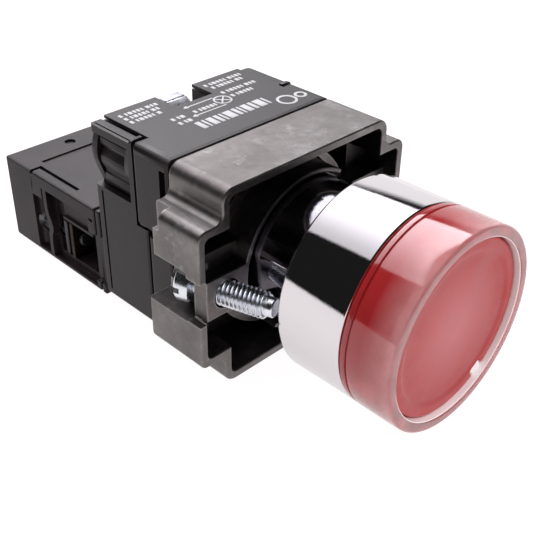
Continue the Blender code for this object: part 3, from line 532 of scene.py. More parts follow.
def black_moulding(name="black_moulding", tone=1.0, shine=0.30):
    paint = Paint(name)
    broad = paint.noise(9.0, 4.0)
    grain = paint.noise(0.22, 4.0, 0.6)
    dark = tuple(tone * c for c in (0.006, 0.0045, 0.005))
    light = tuple(tone * c for c in (0.018, 0.012, 0.013))
    base = paint.mix(paint.range(broad, 0.35, 0.65, 0.0, 1.0), dark, light)
    rub = paint.range(paint.noise(1.2, 4.0), 0.4, 0.65, 0.2, 0.9)
    edge = paint.math("MULTIPLY", paint.edges(0.25, 0.01, 0.3), rub)
    base = paint.mix(edge, base, (0.07, 0.065, 0.068))
    dust = paint.ramp(paint.cells(1.1), (0.0, 0.4), (0.04, 0.0))
    base = paint.mix(dust, base, (0.16, 0.15, 0.155))
    paint.set(Base_Color=base, Roughness=paint.range(broad, 0.3, 0.7, 0.36, 0.44), Specular_IOR_Level=shine)
    paint.set(Normal=paint.bump(grain, 0.012, paint.bump(paint.noise(3.0, 2.0), 0.03)))
    return paint.material


def red_plastic(name, start, end, low, high, radial, roughness, transmission, scatter, depth_mm, coat):
    """Tinted plastic that fades from one colour to the other, along its radius or along the push axis; the
    fade is painted light, a paler lit part against a deeper shaded one.
    """
    paint = Paint(name)
    haze = paint.noise(5.0, 4.0)
    fine = paint.noise(0.5, 4.0, 0.6)
    if radial:
        across = paint.math("SUBTRACT", paint.along("X"), AXIS_X)
        upward = paint.math("SUBTRACT", paint.along("Z"), AXIS_Z)
        squares = [paint.math("MULTIPLY", way, way) for way in (across, upward)]
        reach = paint.math("SQRT", paint.math("ADD", *squares))
    else:
        reach = paint.along("Y")
    base = paint.mix(paint.range(reach, low, high, 0.0, 1.0), start, end)
    base = paint.mix(paint.range(haze, 0.35, 0.65, 0.0, 0.35), base, tuple(c * 0.75 for c in start))
    dust = paint.ramp(paint.cells(1.9), (0.0, 0.4), (0.02, 0.0))
    base = paint.mix(dust, base, (0.85, 0.62, 0.62))
    paint.set(Base_Color=base, Roughness=paint.range(fine, 0.3, 0.7, roughness * 0.85, roughness * 1.2))
    paint.set(IOR=1.5, Transmission_Weight=transmission, Coat_Weight=coat, Coat_Roughness=roughness)
    paint.set(Subsurface_Weight=scatter, Subsurface_Scale=depth_mm * MM)
    paint.shader.inputs["Subsurface Radius"].default_value = (1.0, 0.25, 0.22)
    paint.shader.inputs["Coat IOR"].default_value = 1.6
    paint.set(Normal=paint.bump(haze, 0.02, paint.bump(fine, 0.002)))
    return paint.material


def plated_steel():
    paint = Paint("bright_zinc_plate")
    haze = paint.noise(1.2, 5.0)
    base = paint.mix(haze, (0.92, 0.94, 0.98), (0.80, 0.83, 0.88))
    soot = paint.ramp(paint.noise(0.5, 4.0, 0.6), (0.62, 0.0), (0.74, 0.5))
    base = paint.mix(soot, base, (0.30, 0.30, 0.32))
    paint.set(Base_Color=base, Metallic=1.0, Roughness=paint.range(haze, 0.3, 0.7, 0.20, 0.30))
    paint.set(Normal=paint.bump(paint.noise(0.12, 3.0), 0.002))
    return paint.material


def plain_metal(name, bright, dull, roughness):
    paint = Paint(name)
    haze = paint.noise(1.5, 5.0, 0.6)
    edge = paint.edges(0.2, 0.01, 0.3)
    base = paint.mix(edge, paint.mix(haze, bright, dull), tuple(min(c * 1.25, 1.0) for c in bright))
    rough = paint.range(haze, 0.3, 0.7, roughness * 0.8, roughness * 1.3)
    paint.set(Base_Color=base, Metallic=1.0, Roughness=rough)
    drawn = paint.noise(0.1, 3.0, 0.5, paint.scaled((1.0, 0.08, 1.0)))
    paint.set(Normal=paint.bump(drawn, 0.003))
    return paint.material


def plain_plastic(name, light, dark, roughness, grain_mm=0.2):
    paint = Paint(name)
    haze = paint.noise(4.0, 4.0)
    edge = paint.math("MULTIPLY", paint.edges(0.2, 0.01, 0.3), 0.4)
    base = paint.mix(edge, paint.mix(haze, light, dark), tuple(min(c * 1.3 + 0.02, 1.0) for c in light))
    paint.set(Base_Color=base, Roughness=paint.range(haze, 0.3, 0.7, roughness * 0.85, roughness * 1.15))
    paint.set(Normal=paint.bump(paint.noise(grain_mm, 3.0), 0.006))
    return paint.material


def clear_glass():
    paint = Paint("lamp_glass_clear")
    haze = paint.noise(3.0, 3.0)
    paint.set(Base_Color=paint.mix(haze, (0.96, 0.98, 0.98), (0.90, 0.93, 0.93)))
    paint.set(IOR=1.5, Transmission_Weight=1.0, Roughness=paint.range(haze, 0.3, 0.7, 0.01, 0.04))
    paint.set(Normal=paint.bump(haze, 0.01))
    return paint.material


CHROME = chrome()
ZINC = cast_zinc()
BLACK = black_moulding()
BLACK_TOP = black_moulding("black_moulding_contact", 1.5, 0.2)
# The guard ring pales from deep red at its rear to pale pink at its front: painted light, standing in for
# the white floor's reflection and light passing through the ring.
RING_RED = red_plastic(
    "guard_ring_red", start=(0.68, 0.044, 0.050), end=(1.0, 0.50, 0.50), low=FRONT_RIM - 21.0 * MM,
    high=FRONT_RIM - ring_high.z * MM, radial=False, roughness=0.08, transmission=0.50, scatter=0.50,
    depth_mm=2.0, coat=0.5,
)
# The lens is paler in its centre and deeper red at its border: a painted highlight across the middle of the
# dish.
LENS_RED = red_plastic(
    "push_lens_red", start=(0.88, 0.20, 0.215), end=(0.66, 0.025, 0.03), low=1.0 * MM, high=9.0 * MM,
    radial=True, roughness=0.32, transmission=0.0, scatter=0.7, depth_mm=1.2, coat=0.1,
)
# Near-white pink for the lip inside the guard ring: a painted glow, not the plastic's own colour.
PAINTED_GLOW_EDGE = plain_plastic("guard_ring_painted_glow", (1.0, 0.94, 0.93), (0.97, 0.89, 0.88), 0.25)
PLATED = plated_steel()
BRASS = plain_metal("stamped_brass", (0.75, 0.57, 0.27), (0.60, 0.44, 0.20), 0.28)
SILVER = plain_metal("silver_contact", (0.86, 0.85, 0.82), (0.70, 0.69, 0.67), 0.25)
SPRING = plain_metal("drawn_spring_wire", (0.62, 0.62, 0.64), (0.45, 0.45, 0.47), 0.22)
WHITE = plain_plastic("white_moulding", (0.80, 0.79, 0.74), (0.72, 0.70, 0.66), 0.42)
RUBBER = plain_plastic("black_rubber", (0.020, 0.020, 0.021), (0.035, 0.034, 0.034), 0.75, 0.12)
PRINT = plain_plastic("label_print", (0.84, 0.83, 0.85), (0.70, 0.69, 0.71), 0.5)
GLASS = clear_glass()
CLAMP = plain_metal("bright_clamp_plate", (0.80, 0.81, 0.87), (0.70, 0.71, 0.77), 0.3)
# Near-black copies of zinc plate and brass for the contact screws, washers and fixed contacts: painted shade
# for the deep wire entry they sit in.
PAINTED_SHADE_ZINC = plain_metal("zinc_plate_painted_shade", (0.10, 0.10, 0.11), (0.06, 0.06, 0.065), 0.5)
PAINTED_SHADE_BRASS = plain_metal("brass_painted_shade", (0.05, 0.038, 0.025), (0.03, 0.022, 0.016), 0.5)


# ---- head

NECK_RADIUS = 10.9
NECK_FLAT = 10.2
NECK_BORE = 9.4
SPRING_SHELF = 13.0
POCKET_RADIUS = 13.35
SPIGOT_RADIUS = 13.1
LENS_RADIUS = 12.2
NOTCH_ANGLE = -57.0

BEZEL_RADIUS = head_high.x
BEZEL_FRONT = head_high.z
BEZEL_REAR = BEZEL_FRONT - 10.25
NECK_REAR = head_low.z


def bezel_and_neck():
    """Chrome head: a barrel with softly turned edges, and a neck with two flats and two bayonet lugs."""
    rear = BEZEL_REAR
    head = turned("chrome_head", soften([
        (BEZEL_RADIUS, BEZEL_FRONT, 0.28), (BEZEL_RADIUS, rear, 0.5),
        (13.2, rear, 0.15), (13.2, rear + 1.1, 0.1),
        (NECK_RADIUS, rear + 1.1, 0.15), (NECK_RADIUS, NECK_REAR, 0.3),
        (NECK_BORE, NECK_REAR, 0.2), (NECK_BORE, 11.2, 0.1),
        (10.1, 11.2, 0.1), (10.1, SPRING_SHELF, 0.1),
        (POCKET_RADIUS, SPRING_SHELF, 0.1), (POCKET_RADIUS, BEZEL_FRONT, 0.15),
    ]))
    for side in (-1, 1):
        flat = (side * NECK_FLAT, -6.0, NECK_REAR - 1.0), (side * 12.4, 6.0, rear + 0.02)
        lug = (-2.5, side * (NECK_BORE + 0.6), NECK_REAR + 0.3), (2.5, side * 11.85, -6.35)
        carve(head, block("flat", *flat, 0.0))
        join(head, block("lug", *lug, 0.25))
    finish(head, "unit_body", ["head_body"], CHROME, angle=40.0)


def gasket():
    low, high = span("panel_gasket")
    inner = 11.2
    profile = [(high.x, high.z, 0.1), (high.x, low.z, 0.2), (inner, low.z, 0.2), (inner, high.z, 0.1)]
    seal = turned("gasket_ring", soften(profile))
    finish(seal, "unit_body", ["panel_gasket"], RUBBER)


def guard():
    """Translucent red ring: a flange on the bezel, a sleeve, and a rounded rim round the recessed lens."""
    front, rear, outer = ring_high.z, ring_low.z, ring_high.x
    groove = outer - 0.28
    ring = turned("red_guard_ring", soften([
        (12.6, front, 0.22), (outer, front, 0.42), (outer, 19.3, 0.05),
        (groove, 19.25, 0.02), (groove, 19.0, 0.02),
        (BEZEL_RADIUS, 18.95, 0.1), (BEZEL_RADIUS, 18.2, 0.12),
        (SPIGOT_RADIUS, 18.2, 0.05), (SPIGOT_RADIUS, rear, 0.15),
        (12.0, rear, 0.15), (12.0, 17.1, 0.1), (12.6, 17.5, 0.1),
    ]), steps=192)
    finish(ring, "unit_body", ["guard_ring"], RING_RED, angle=40.0)
    # A thin near-white lip lines the ring's bore, with a key in the lens slot: painted light, the glow of
    # light through the ring's thin inner edge and the notch.
    inner, outer, rear = 12.48, 12.61, lens_high.z - 1.1
    lip = turned("guard_ring_painted_glow_lip", soften([
        (inner, rear, 0.03), (outer, rear, 0.03), (outer, front - 0.13, 0.03), (inner, front - 0.2, 0.04),
    ]), steps=192)
    key = block("key", (10.95, -1.05, lens_high.z - 1.05), (12.55, 1.05, lens_high.z - 0.1), 0.3, 4)
    join(lip, place(key, spun(NOTCH_ANGLE, "Z")))
    finish(lip, "unit_body", [], PAINTED_GLOW_EDGE, angle=40.0)


def lens():
    """Dished red cap with a raised border and a slot in its rim for prising it out."""
    front, rear = lens_high.z, lens_low.z
    sunk = ((0.0, 0.42), (3.0, 0.41), (6.0, 0.375), (8.4, 0.32), (9.9, 0.26), (10.35, 0.22), (10.6, 0.10),
            (10.85, 0.015), (11.1, 0.0))
    dish = [(radius, front - depth) for radius, depth in sunk]
    rim = arc(LENS_RADIUS - 0.3, front - 0.3, 0.3, 90.0, 0.0, 6)
    under = [(LENS_RADIUS, rear + 0.1), (LENS_RADIUS - 0.1, rear), (11.1, rear), (11.0, rear + 0.1),
             (11.0, front - 1.45), (0.0, front - 1.5)]
    cap = turned("red_lens", dish + rim + under, steps=192, closed=False)
    slot = block("slot", (10.75, -1.25, front - 1.2), (13.0, 1.25, front + 1.0), 0.35, 4)
    carve(cap, place(slot, spun(NOTCH_ANGLE, "Z")))
    finish(cap, "button", ["push_lens"], LENS_RED, angle=40.0)


def diffuser():
    low, high = span("lens_diffuser")
    floor = high.z - 0.7
    profile = [(0.0, high.z), (10.4, high.z), (10.7, high.z - 0.2), (10.7, low.z), (9.9, low.z),
               (9.9, floor), (0.0, floor)]
    plate_piece = turned("white_diffuser", profile, steps=96, closed=False)
    finish(plate_piece, "button", ["lens_diffuser"], WHITE)


def carrier():
    low, high = span("lens_carrier")
    ledge = high.z - 1.3
    tube = turned("carrier_tube", soften([
        (11.7, high.z, 0.2), (11.7, ledge, 0.2), (9.0, ledge, 0.3), (9.0, low.z, 0.15), (7.1, low.z, 0.15),
        (7.1, ledge, 0.3), (8.6, high.z, 0.1),
    ]), steps=96)
    for side in (-1, 1):
        join(tube, block("snap", (side * 8.4, -2.0, low.z), (side * 10.1, 2.0, low.z + 0.85), 0.2))
    for k in range(4):
        window = block("window", (6.0, -1.6, -6.0), (10.0, 1.6, 4.0), 0.4)
        carve(tube, place(window, spun(45.0 + 90.0 * k, "Z")))
    finish(tube, "button", ["lens_carrier"], BLACK)


def seal_lip():
    low, high = span("carrier_seal")
    middle = (low.z + high.z) / 2.0
    lip = turned("seal_lip", soften([
        (10.0, high.z, 0.1), (10.0, low.z, 0.1), (9.2, low.z, 0.1), (9.4, middle, 0.1), (9.2, high.z, 0.1),
    ], 3), steps=96)
    finish(lip, "unit_body", ["carrier_seal"], RUBBER)


def spring(node, name, mean_radius, wire, turns, middle):
    """A coil along h whose end turns lie flat."""
    low, high = span(node)
    floor, top, lead = low.z + wire, high.z - wire, 2.05 * wire
    per_turn, sides, ends = 36, 12, 0.9
    build = bmesh.new()
    rows = []
    for i in range(int((turns + 2.0 * ends) * per_turn) + 1):
        turn = i / per_turn
        share = min(max((turn - ends) / turns, 0.0), 1.0)
        height = floor + lead * min(turn / ends, 1.0)
        if turn > ends:
            height = floor + lead + (top - floor - 2.0 * lead) * share
        if turn > ends + turns:
            height = top - lead + lead * (turn - ends - turns) / ends
        angle = 2.0 * math.pi * turn
        out = Vector((math.cos(angle), math.sin(angle), 0.0))
        centre = out * mean_radius + Vector((middle.x, middle.y, height))
        row = []
        for k in range(sides):
            around = 2.0 * math.pi * k / sides
            rise = Vector((0.0, 0.0, wire * math.sin(around)))
            row.append(build.verts.new(centre + out * (wire * math.cos(around)) + rise))
        rows.append(row)
    coil = skinned(name, build, rows)
    finish(coil, "unit_body", [node], SPRING, angle=60.0)
    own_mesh(coil)


bezel_and_neck()
gasket()
guard()
lens()
diffuser()
carrier()
seal_lip()
spring("return_spring", "return_coil", 10.5, 0.35, 2.2, Vector())
spring("contact_spring", "contact_coil", 2.2, 0.28, 5.0, sum(span("contact_spring"), Vector()) / 2.0)


# ---- collar and clamp screws

COLLAR_X = 15.6
WALL = 1.2
WING_TOP = 10.6
WING_BOTTOM = -10.3
WING_POCKET = 6.2
FLOOR = -9.3
WEB_X = 18.5
WEB_DEPTH = 2.5
CHANNEL_TOP = 4.1
CHANNEL_BOTTOM = -3.5
SCREW_TILT = math.atan(0.32)
SCREW_X = 15.0
HEAD_START = -4.5
HEAD_END = -6.8
HEAD_RADIUS = 2.75
SCREW_TIP = 6.9

collar_low, collar_high = span("collar")
WING_X = collar_high.x
COLLAR_Y = collar_high.y
COLLAR_REAR = collar_low.z


def tilted(side):
    """Carries a shape from the push axis to a clamp screw's axis."""
    return Matrix.Translation((side * SCREW_X, 0.0, 0.0)) @ Matrix.Rotation(-side * SCREW_TILT, 4, "Y")


def clamping_collar():
    """Cast collar: open box with two wings, a bored boss, and a web on each side for a clamp screw."""
    x, y, wing = COLLAR_X, COLLAR_Y, WING_X
    outer = [
        (x, y, 1.9), (-x, y, 1.9), (-x, WING_TOP, 1.3), (-wing, WING_TOP, 1.5), (-wing, WING_BOTTOM, 1.1),
        (-x, WING_BOTTOM, 1.3), (-x, -y, 1.9), (x, -y, 1.9), (x, WING_BOTTOM, 1.3), (wing, WING_BOTTOM, 1.1),
        (wing, WING_TOP, 1.5), (x, WING_TOP, 1.3),
    ]
    body = plate("clamping_collar", outer, COLLAR_REAR, 0.0, front=0.28, rear=0.5, count=10)
    x, y, wing = x - WALL, y - WALL, wing - WALL
    hollow = [(x, y, 1.0), (-x, y, 1.0), (-x, -y, 1.0), (x, -y, 1.0)]
    carve(body, pocket("hollow", hollow, FLOOR, 0.0))
    top, bottom = WING_TOP - WALL, WING_BOTTOM + WALL
    hollow = [(wing, top, 0.8), (-wing, top, 0.8), (-wing, bottom, 0.8), (wing, bottom, 0.8)]
    carve(body, pocket("wings", hollow, -WING_POCKET, 0.0))
    root = FLOOR - 0.5
    boss = soften([(10.0, root, 0.05), (11.95, root, 0.05), (11.95, -0.06, 0.22), (10.0, -0.06, 0.05)])
    join(body, turned("boss", boss), rod("boss_root", 13.3, FLOOR - 0.6, -5.0, sides=ROUND))
    for side in (-1, 1):
        end, bottom, top = side * 11.0, CHANNEL_BOTTOM - WALL, CHANNEL_TOP + WALL
        join(
            body,
            block("web", (side * (wing + 0.6), -3.05, -WING_POCKET - 0.3), (end, 3.05, -0.04), 0.25),
            block("web_back", (side * (wing + 0.8), bottom, FLOOR - 0.4), (end, top, -WEB_DEPTH), 0.2),
        )
    for side in (-1, 1):
        out, step, rear = side * (WING_X + 1.0), side * 17.6, COLLAR_REAR - 1.0
        carve(
            body,
            block("inset", (out, -3.3, -WEB_DEPTH - 0.5), (side * WEB_X, 3.3, 1.0), 0.2),
            block("channel", (out, CHANNEL_BOTTOM, rear), (side * 15.9, CHANNEL_TOP, -WEB_DEPTH), 0.25),
            block("step", (out, 8.0, rear), (step, 12.0, -7.6), 0.25),
            block("rear", (out, 2.0, rear), (step, 8.3, -8.7), 0.25),
            place(rod("hole", 2.1, -9.0, 9.0), tilted(side)),
            place(rod("seat", HEAD_RADIUS + 0.35, -16.0, HEAD_START + 0.3), tilted(side)),
        )
    bore = soften([
        (0.0, -20.0, 0.0), (11.15, -20.0, 0.02), (11.15, -0.35, 0.3),
        (11.45, -0.06, 0.02), (11.45, 5.0, 0.02), (0.0, 5.0, 0.0),
    ], closed=False)
    carve(body, turned("bore", bore, closed=False), rod("lock", 12.4, -20.0, -6.1, sides=ROUND))
    gate = block("gate", (-12.1, -2.8, -7.1), (12.1, 2.8, 1.0), 0.2)
    carve(body, place(gate, spun(45.0, "Z")))
    clean(body)
    finish(body, "unit_body", ["collar"], ZINC, bevel=0.10, angle=38.0)


def clamp_screw(side, hand):
    """Slotted cheese-head screw with a cut thread and a dog point."""
    node = f"clamp_screw_{hand}"
    shank = threaded(f"{node}_threaded", 1.85, 1.3, 0.62, HEAD_START - 0.2, SCREW_TIP - 0.75)
    head = soften([
        (0.0, HEAD_START, 0.0), (HEAD_RADIUS, HEAD_START, 0.15), (HEAD_RADIUS, HEAD_END, 0.45),
        (0.0, HEAD_END, 0.0),
    ], closed=False)
    join(shank, turned("head", head, steps=96, closed=False))
    join(shank, rod("dog_point", 1.32, SCREW_TIP - 1.6, SCREW_TIP, edge=0.15))
    carve(shank, block("slot", (-4.0, -0.42, HEAD_END - 1.0), (4.0, 0.42, HEAD_END + 1.1), 0.0))
    place(shank, tilted(side))
    finish(shank, f"{hand}_clamp_screw", [node], PLATED, angle=28.0)


clamping_collar()
for side, hand in HANDS.items():
    clamp_screw(side, hand)


# ---- light block

LIGHT_EDGE = span("light_block_base")[1].x
LIGHT_TOP = span("light_block_base")[1].y
LIGHT_REAR = span("light_block_case")[0].z
SUNK = 0.05                            # how far the front moulding's top lies below the rear moulding's
CORNER = 1.4


def waved(name, outer, inner_x, low, high, edge=0.06):
    """A slab along h whose outer side follows (x, y) points and whose inner side is straight."""
    top, bottom = outer[0][1], outer[-1][1]
    outline = [(x, y, 0.05) for x, y in outer] + [(inner_x, bottom, 0.05), (inner_x, top, 0.05)]
    return plate(name, outline, low, high, edge, edge, count=2, steps=2)


def on_side(piece, side):
    """Pieces are drawn on the left; the right side is the left one turned half round the push axis."""
    return piece if side < 0 else place(piece, Matrix.Rotation(math.pi, 4, "Z"))


# Outlines as (x, y), from top to bottom, of the light block's waved cheeks and of a latch lever.
CHEEK = [
    (-14.35, 13.7), (-14.6, 13.0), (-14.9, 12.0), (-15.08, 11.0), (-15.1, 10.2), (-15.0, 9.3), (-14.7, 8.3),
    (-14.35, 7.3), (-13.95, 6.2), (-13.6, 5.0),
]
LEVER = [
    (-14.4, 13.0), (-14.62, 12.8), (-14.66, 12.0), (-14.6, 11.75), (-14.15, 11.62), (-14.2, 11.2),
    (-14.5, 10.7), (-14.78, 10.2), (-14.85, 9.7), (-14.78, 9.2), (-14.55, 8.6), (-14.3, 8.1), (-14.12, 7.6),
    (-14.1, 7.4), (-14.28, 7.28), (-14.3, 6.2), (-14.2, 5.6),
]


def light_block():
    """Front and rear mouldings; the rear one has a waved cheek on each side of each latch lever."""
    base = from_cad("light_block_front_moulding", "light_block_base")
    top = LIGHT_TOP - SUNK
    for vertex in base.data.vertices:
        vertex.co.y = min(vertex.co.y, top)
    x, y = LIGHT_EDGE - CORNER, top - CORNER
    for side in (-1, 1):
        tool = block("corner", (x, y, LIGHT_REAR - 1.0), (LIGHT_EDGE + 1.0, top + 1.0, 1.0), 0.0)
        carve(tool, rod("corner_round", CORNER, LIGHT_REAR - 2.0, 2.0, x, y, 48))
        carve(base, mirrored(tool, -side))
    finish(base, "unit_body", ["light_block_base"], BLACK, bevel=0.12)
    case = from_cad("light_block_rear_moulding", "light_block_case")
    for side in (-1, 1):
        rear = waved("rear_cheek", CHEEK, -11.0, LIGHT_REAR + 0.02, -26.5)
        front = waved("front_cheek", [(x, y) for x, y in CHEEK if y > 8.0], -11.0, -20.35, -19.3)
        join(case, on_side(rear, side), on_side(front, side))
        ledge = block("ledge_line", (-14.62, 14.25, -27.2), (-14.36, 15.5, -19.4), 0.03)
        carve(case, on_side(ledge, side))
    finish(case, "unit_body", ["light_block_case"], BLACK, bevel=0.1)


def latch(side, hand):
    """Waved lever with a paddle at the top, a foot at the bottom and a trunnion it rocks on."""
    node = f"latch_lever_{hand}"
    low, high = span(node)
    lever = waved(f"{node}_tongue", LEVER, -12.9, low.z + 0.9, high.z - 1.35, 0.1)
    pin = rod("pin", 0.7, low.z, high.z, -12.6, 9.3, 32, 0.1)
    hub = rod("hub", 1.05, low.z + 0.9, high.z - 1.0, -12.6, 9.3, 32, 0.1)
    join(lever, hub, pin)
    finish(on_side(lever, side), f"{hand}_latch", [node], BLACK, angle=25.0)


# The marks lie in the plane of the light block's top, as (x, h).
BARS = (0.35, 1.0, 0.6, 0.35, 1.3, 0.6, 0.35, 1.0, 0.6, 1.3, 0.35)
BAR_ENDS = (-17.0, -14.7)              # rear and front ends of the wide bars
LAMP_MARK = (2.9, -20.3, 1.3)          # x, h and radius
CIRCLES = (LAMP_MARK, (9.7, -14.0, 1.4), (12.5, -14.0, 0.8))
ARROWS = ((-3.2, 2.2, -21.7), (-4.0, 2.2, -18.7))
ROWS = (                               # rows of small dashes: first x, last x and h
    (-11.6, -5.2, -26.0), (-11.6, -5.6, -24.7), (-11.6, -6.6, -23.4), (4.2, 11.2, -26.2), (4.6, 10.4, -24.9),
    (4.4, 10.6, -22.6), (4.8, 9.4, -20.9), (-3.0, 1.2, -20.2), (-7.0, -4.6, -20.2), (-7.0, -5.2, -18.6),
)


def label_print():
    """Plain raised marks where the maker's print would be: bars, dashes, circles and arrows."""
    low, high = LIGHT_TOP - 0.2, LIGHT_TOP - 0.012
    marks = block("printed_marks", (-5.4, low, BAR_ENDS[0]), (-4.6, high, BAR_ENDS[1]), 0.01, 1)

    def bar(x0, x1, h0, h1):
        join(marks, block("bar", (x0, low, h0), (x1, high, h1), 0.01, 1))

    def stroke(x0, h0, x1, h1, width=0.22):
        length, angle = math.hypot(x1 - x0, h1 - h0), math.atan2(h1 - h0, x1 - x0)
        line = block("stroke", (0.0, low, -width / 2.0), (length, high, width / 2.0), 0.01, 1)
        join(marks, place(line, Matrix.Translation((x0, 0.0, h0)) @ Matrix.Rotation(-angle, 4, "Y")))

    start = -4.2
    for width in BARS:
        bar(start, start + width, *BAR_ENDS)
        start += width + 0.38
    for circle in CIRCLES:
        sweep = arc(*circle, 0.0, 360.0, 28)
        for (x0, h0), (x1, h1) in zip(sweep, sweep[1:]):
            stroke(x0, h0, x1, h1, 0.26 if circle is LAMP_MARK else 0.42)
    x, h = LAMP_MARK[:2]
    for rise in (-0.9, 0.9):
        stroke(x - 0.9, h + rise, x + 0.9, h - rise)
    for x0, x1, h in ARROWS:
        stroke(x0, h, x1, h)
        for rise in (0.35, -0.35):
            stroke(x0, h, x0 + 0.7, h + rise)
    for start, end, h in ROWS:
        x, k = start, 0
        while x < end:
            width = (0.50, 0.34, 0.62, 0.42)[k % 4]
            bar(x, x + width, h, h + 0.85)
            x += width + (0.22 if k % 5 else 0.55)
            k += 1
    finish(marks, "unit_body", [], PRINT, angle=60.0)


light_block()
label_print()
for side, hand in HANDS.items():
    latch(side, hand)


# ---- contact block

def side_profile(name, outline, low_x, high_x, edge=0.05):
    """A plate whose outline is given as (h, y) points, standing between two x values."""
    corners = [(-h, y, 0.12) for h, y in outline]
    return place(plate(name, corners, low_x, high_x, edge, edge, count=3, steps=2),
                 spun(90.0, "Y"))


# Outline as (h, y) of the S-shaped post that divides the wire entry: down its front, then up its rear.
POST_FRONT = [
    (-42.55, -1.9), (-42.5, -5.2), (-42.25, -6.4), (-41.75, -7.4), (-41.5, -8.4), (-41.6, -9.2),
    (-42.0, -10.0), (-42.2, -11.2), (-42.2, -13.9),
]
POST_REAR = [
    (-43.1, -13.9), (-43.1, -11.4), (-43.0, -10.2), (-42.75, -9.2), (-42.8, -8.0), (-43.2, -6.8),
    (-43.4, -5.4), (-43.45, -1.9),
]


def blocks(side, edge, *shapes):
    """Blocks given as (name, x0, x1, y0, y1, h0, h1), drawn on the left and set on the wanted side."""
    return [mirrored(block(name, (x0, y0, h0), (x1, y1, h1), edge), side)
            for name, x0, x1, y0, y1, h0, h1 in shapes]


def contact_block():
    """Housing with a hooded wire entry, an S-shaped post, a column and a small stop on each side."""
    case = from_cad("contact_block_housing", "contact_block_case")
    for side in (-1, 1):
        carve(case, *blocks(
            side, 0.1,
            ("sill", -16.0, -13.9, -13.95, -12.5, -43.6, -30.2),
            ("post_room", -16.0, -13.7, -13.95, -2.0, -43.7, -41.0),
            ("low_room", -16.0, -13.7, -13.95, -4.2, -46.4, -43.0),
            ("pillar_face", -16.0, -14.35, -12.9, -4.3, -31.3, -28.0),
            ("hood_face", -16.0, -13.75, -6.2, -2.05, -39.5, -31.0),
        ))
        column = rod("column", 1.25, -13.4, -2.6, sides=48)
        upright = Matrix.Translation((-13.0, 0.0, -46.3)) @ spun(-90.0, "X")
        join(
            case,
            mirrored(side_profile("post", POST_FRONT + POST_REAR, -14.95, -13.0), side),
            mirrored(place(column, upright), side),
            *blocks(side, 0.1, ("baffle", -13.4, -9.8, -6.4, -1.9, -41.6, -39.2)),
            *blocks(side, 0.12, ("hood_lip", -14.2, -13.0, -6.1, -5.55, -39.4, -31.4)),
            *blocks(side, 0.15, ("stop", -14.96, -13.0, -4.7, -1.4, -31.3, -29.6)),
        )
        carve(
            case,
            *blocks(side, 0.04, ("stop_notch", -16.0, -14.3, -2.5, -1.95, -30.9, -29.9)),
            mirrored(rod("shaft", 2.45, -54.5, -43.4, -12.0, -9.3, 64), side),
        )
    finish(case, "unit_body", ["contact_block_case"], BLACK_TOP, bevel=0.08)
    cover = from_cad("contact_block_front_cover", "contact_block_cover")
    for side in (-1, 1):
        carve(cover, *blocks(side, 0.05, ("cover_face", -16.0, -14.6, -12.9, -4.3, -30.0, -27.0)))
    finish(cover, "unit_body", ["contact_block_cover"], BLACK_TOP, bevel=0.10)


contact_block()


# ---- lamp clamps

def lamp_clamp(node, side):
    """Pressed clamp plate of a lamp terminal: a flat half, a bead across it, and a half bent down."""
    low, high = span(node)
    top = high.y if side > 0 else -low.y
    shape = ((0.0, 0.0), (1.5, 0.0), (1.75, 0.22), (2.0, 0.05))
    profile = [(low.z + along, top - down) for along, down in shape]
    profile += [(high.z, top - 0.95), (high.z, top - 1.7)]
    profile += [(low.z + along, top - down) for along, down in ((0.9, 1.3), (0.6, 2.6), (0.0, 2.6))]
    plate_piece = side_profile(f"{node}_folded", profile, low.x, high.x, 0.08)
    if side < 0:
        place(plate_piece, Matrix.Diagonal((1.0, -1.0, 1.0, 1.0)))
        plate_piece.data.flip_normals()
    finish(plate_piece, "unit_body", [node], CLAMP, angle=25.0)


lamp_clamp("lamp_terminal_upper_clamp", 1)
lamp_clamp("lamp_terminal_lower_clamp", -1)


# ---- pieces that keep their CAD shape

KEPT = (
    (WHITE, "push_rod_upper", "push_rod_lower", "contact_plunger"),
    (SILVER, "contact_bridge", "lamp_tip"),
    (GLASS, "lamp_glass"),
    (BRASS, "lamp_cap", "lamp_holder", "shell_strip", "tip_strip"),
    # The fixed contacts, contact screws and washers take the painted-shade copies of brass and zinc plate.
    (PAINTED_SHADE_BRASS, "fixed_contact_left", "fixed_contact_right"),
    (PLATED, "lamp_terminal_upper_screw", "lamp_terminal_lower_screw"),
    (PAINTED_SHADE_ZINC, "contact_screw_left", "contact_screw_right", "contact_washer_left", "contact_washer_right"),
)
for material, *nodes in KEPT:
    for node in nodes:
        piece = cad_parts[node]
        piece.data.materials.clear()
        piece.data.materials.append(material)


# ---- studio

SOFTBOX_HEIGHT = 0.55
SOFTBOX_EDGES = (-0.558, 1.02)         # left and right edges, as shares of the height
SOFTBOX_DEPTH = (0.30, 1.40)           # near and far edges, as shares of the height
SOFTBOX_RADIANCE = {"bright": 1.8, "zinc": 4.4, "tinted": 6.6, "plastic": 8.8}
DULL_PLASTICS = {BLACK.name, BLACK_TOP.name}
TINTED = {RING_RED.name, PAINTED_GLOW_EDGE.name}
SATIN_METALS = {ZINC.name, PLATED.name, CLAMP.name, PRINT.name}
FILLED = {PAINTED_GLOW_EDGE.name, PLATED.name, CLAMP.name}
FILL_RADIANCE = 2.5
FILL_DEPTH = (-1.9, -0.4)
FLOOR_TONE = 0.30
TABLE_GLOW = {
    "Is Camera Ray": 0.95, "Is Glossy Ray": 0.74, "Is Diffuse Ray": 0.65, "Is Transmission Ray": 0.85,
}
ROOM_GLOW = {"Is Camera Ray": 1.0, "Is Diffuse Ray": 0.55}
BACKDROP_TOWARDS = (0.84, 0.54, 0.0)
BACKDROP_SPREAD = (0.55, 0.85)
BACKDROP_TOP = (0.40, 0.56)
BACKDROP_GLOW = 0.95
DARK_ROOM = 0.012


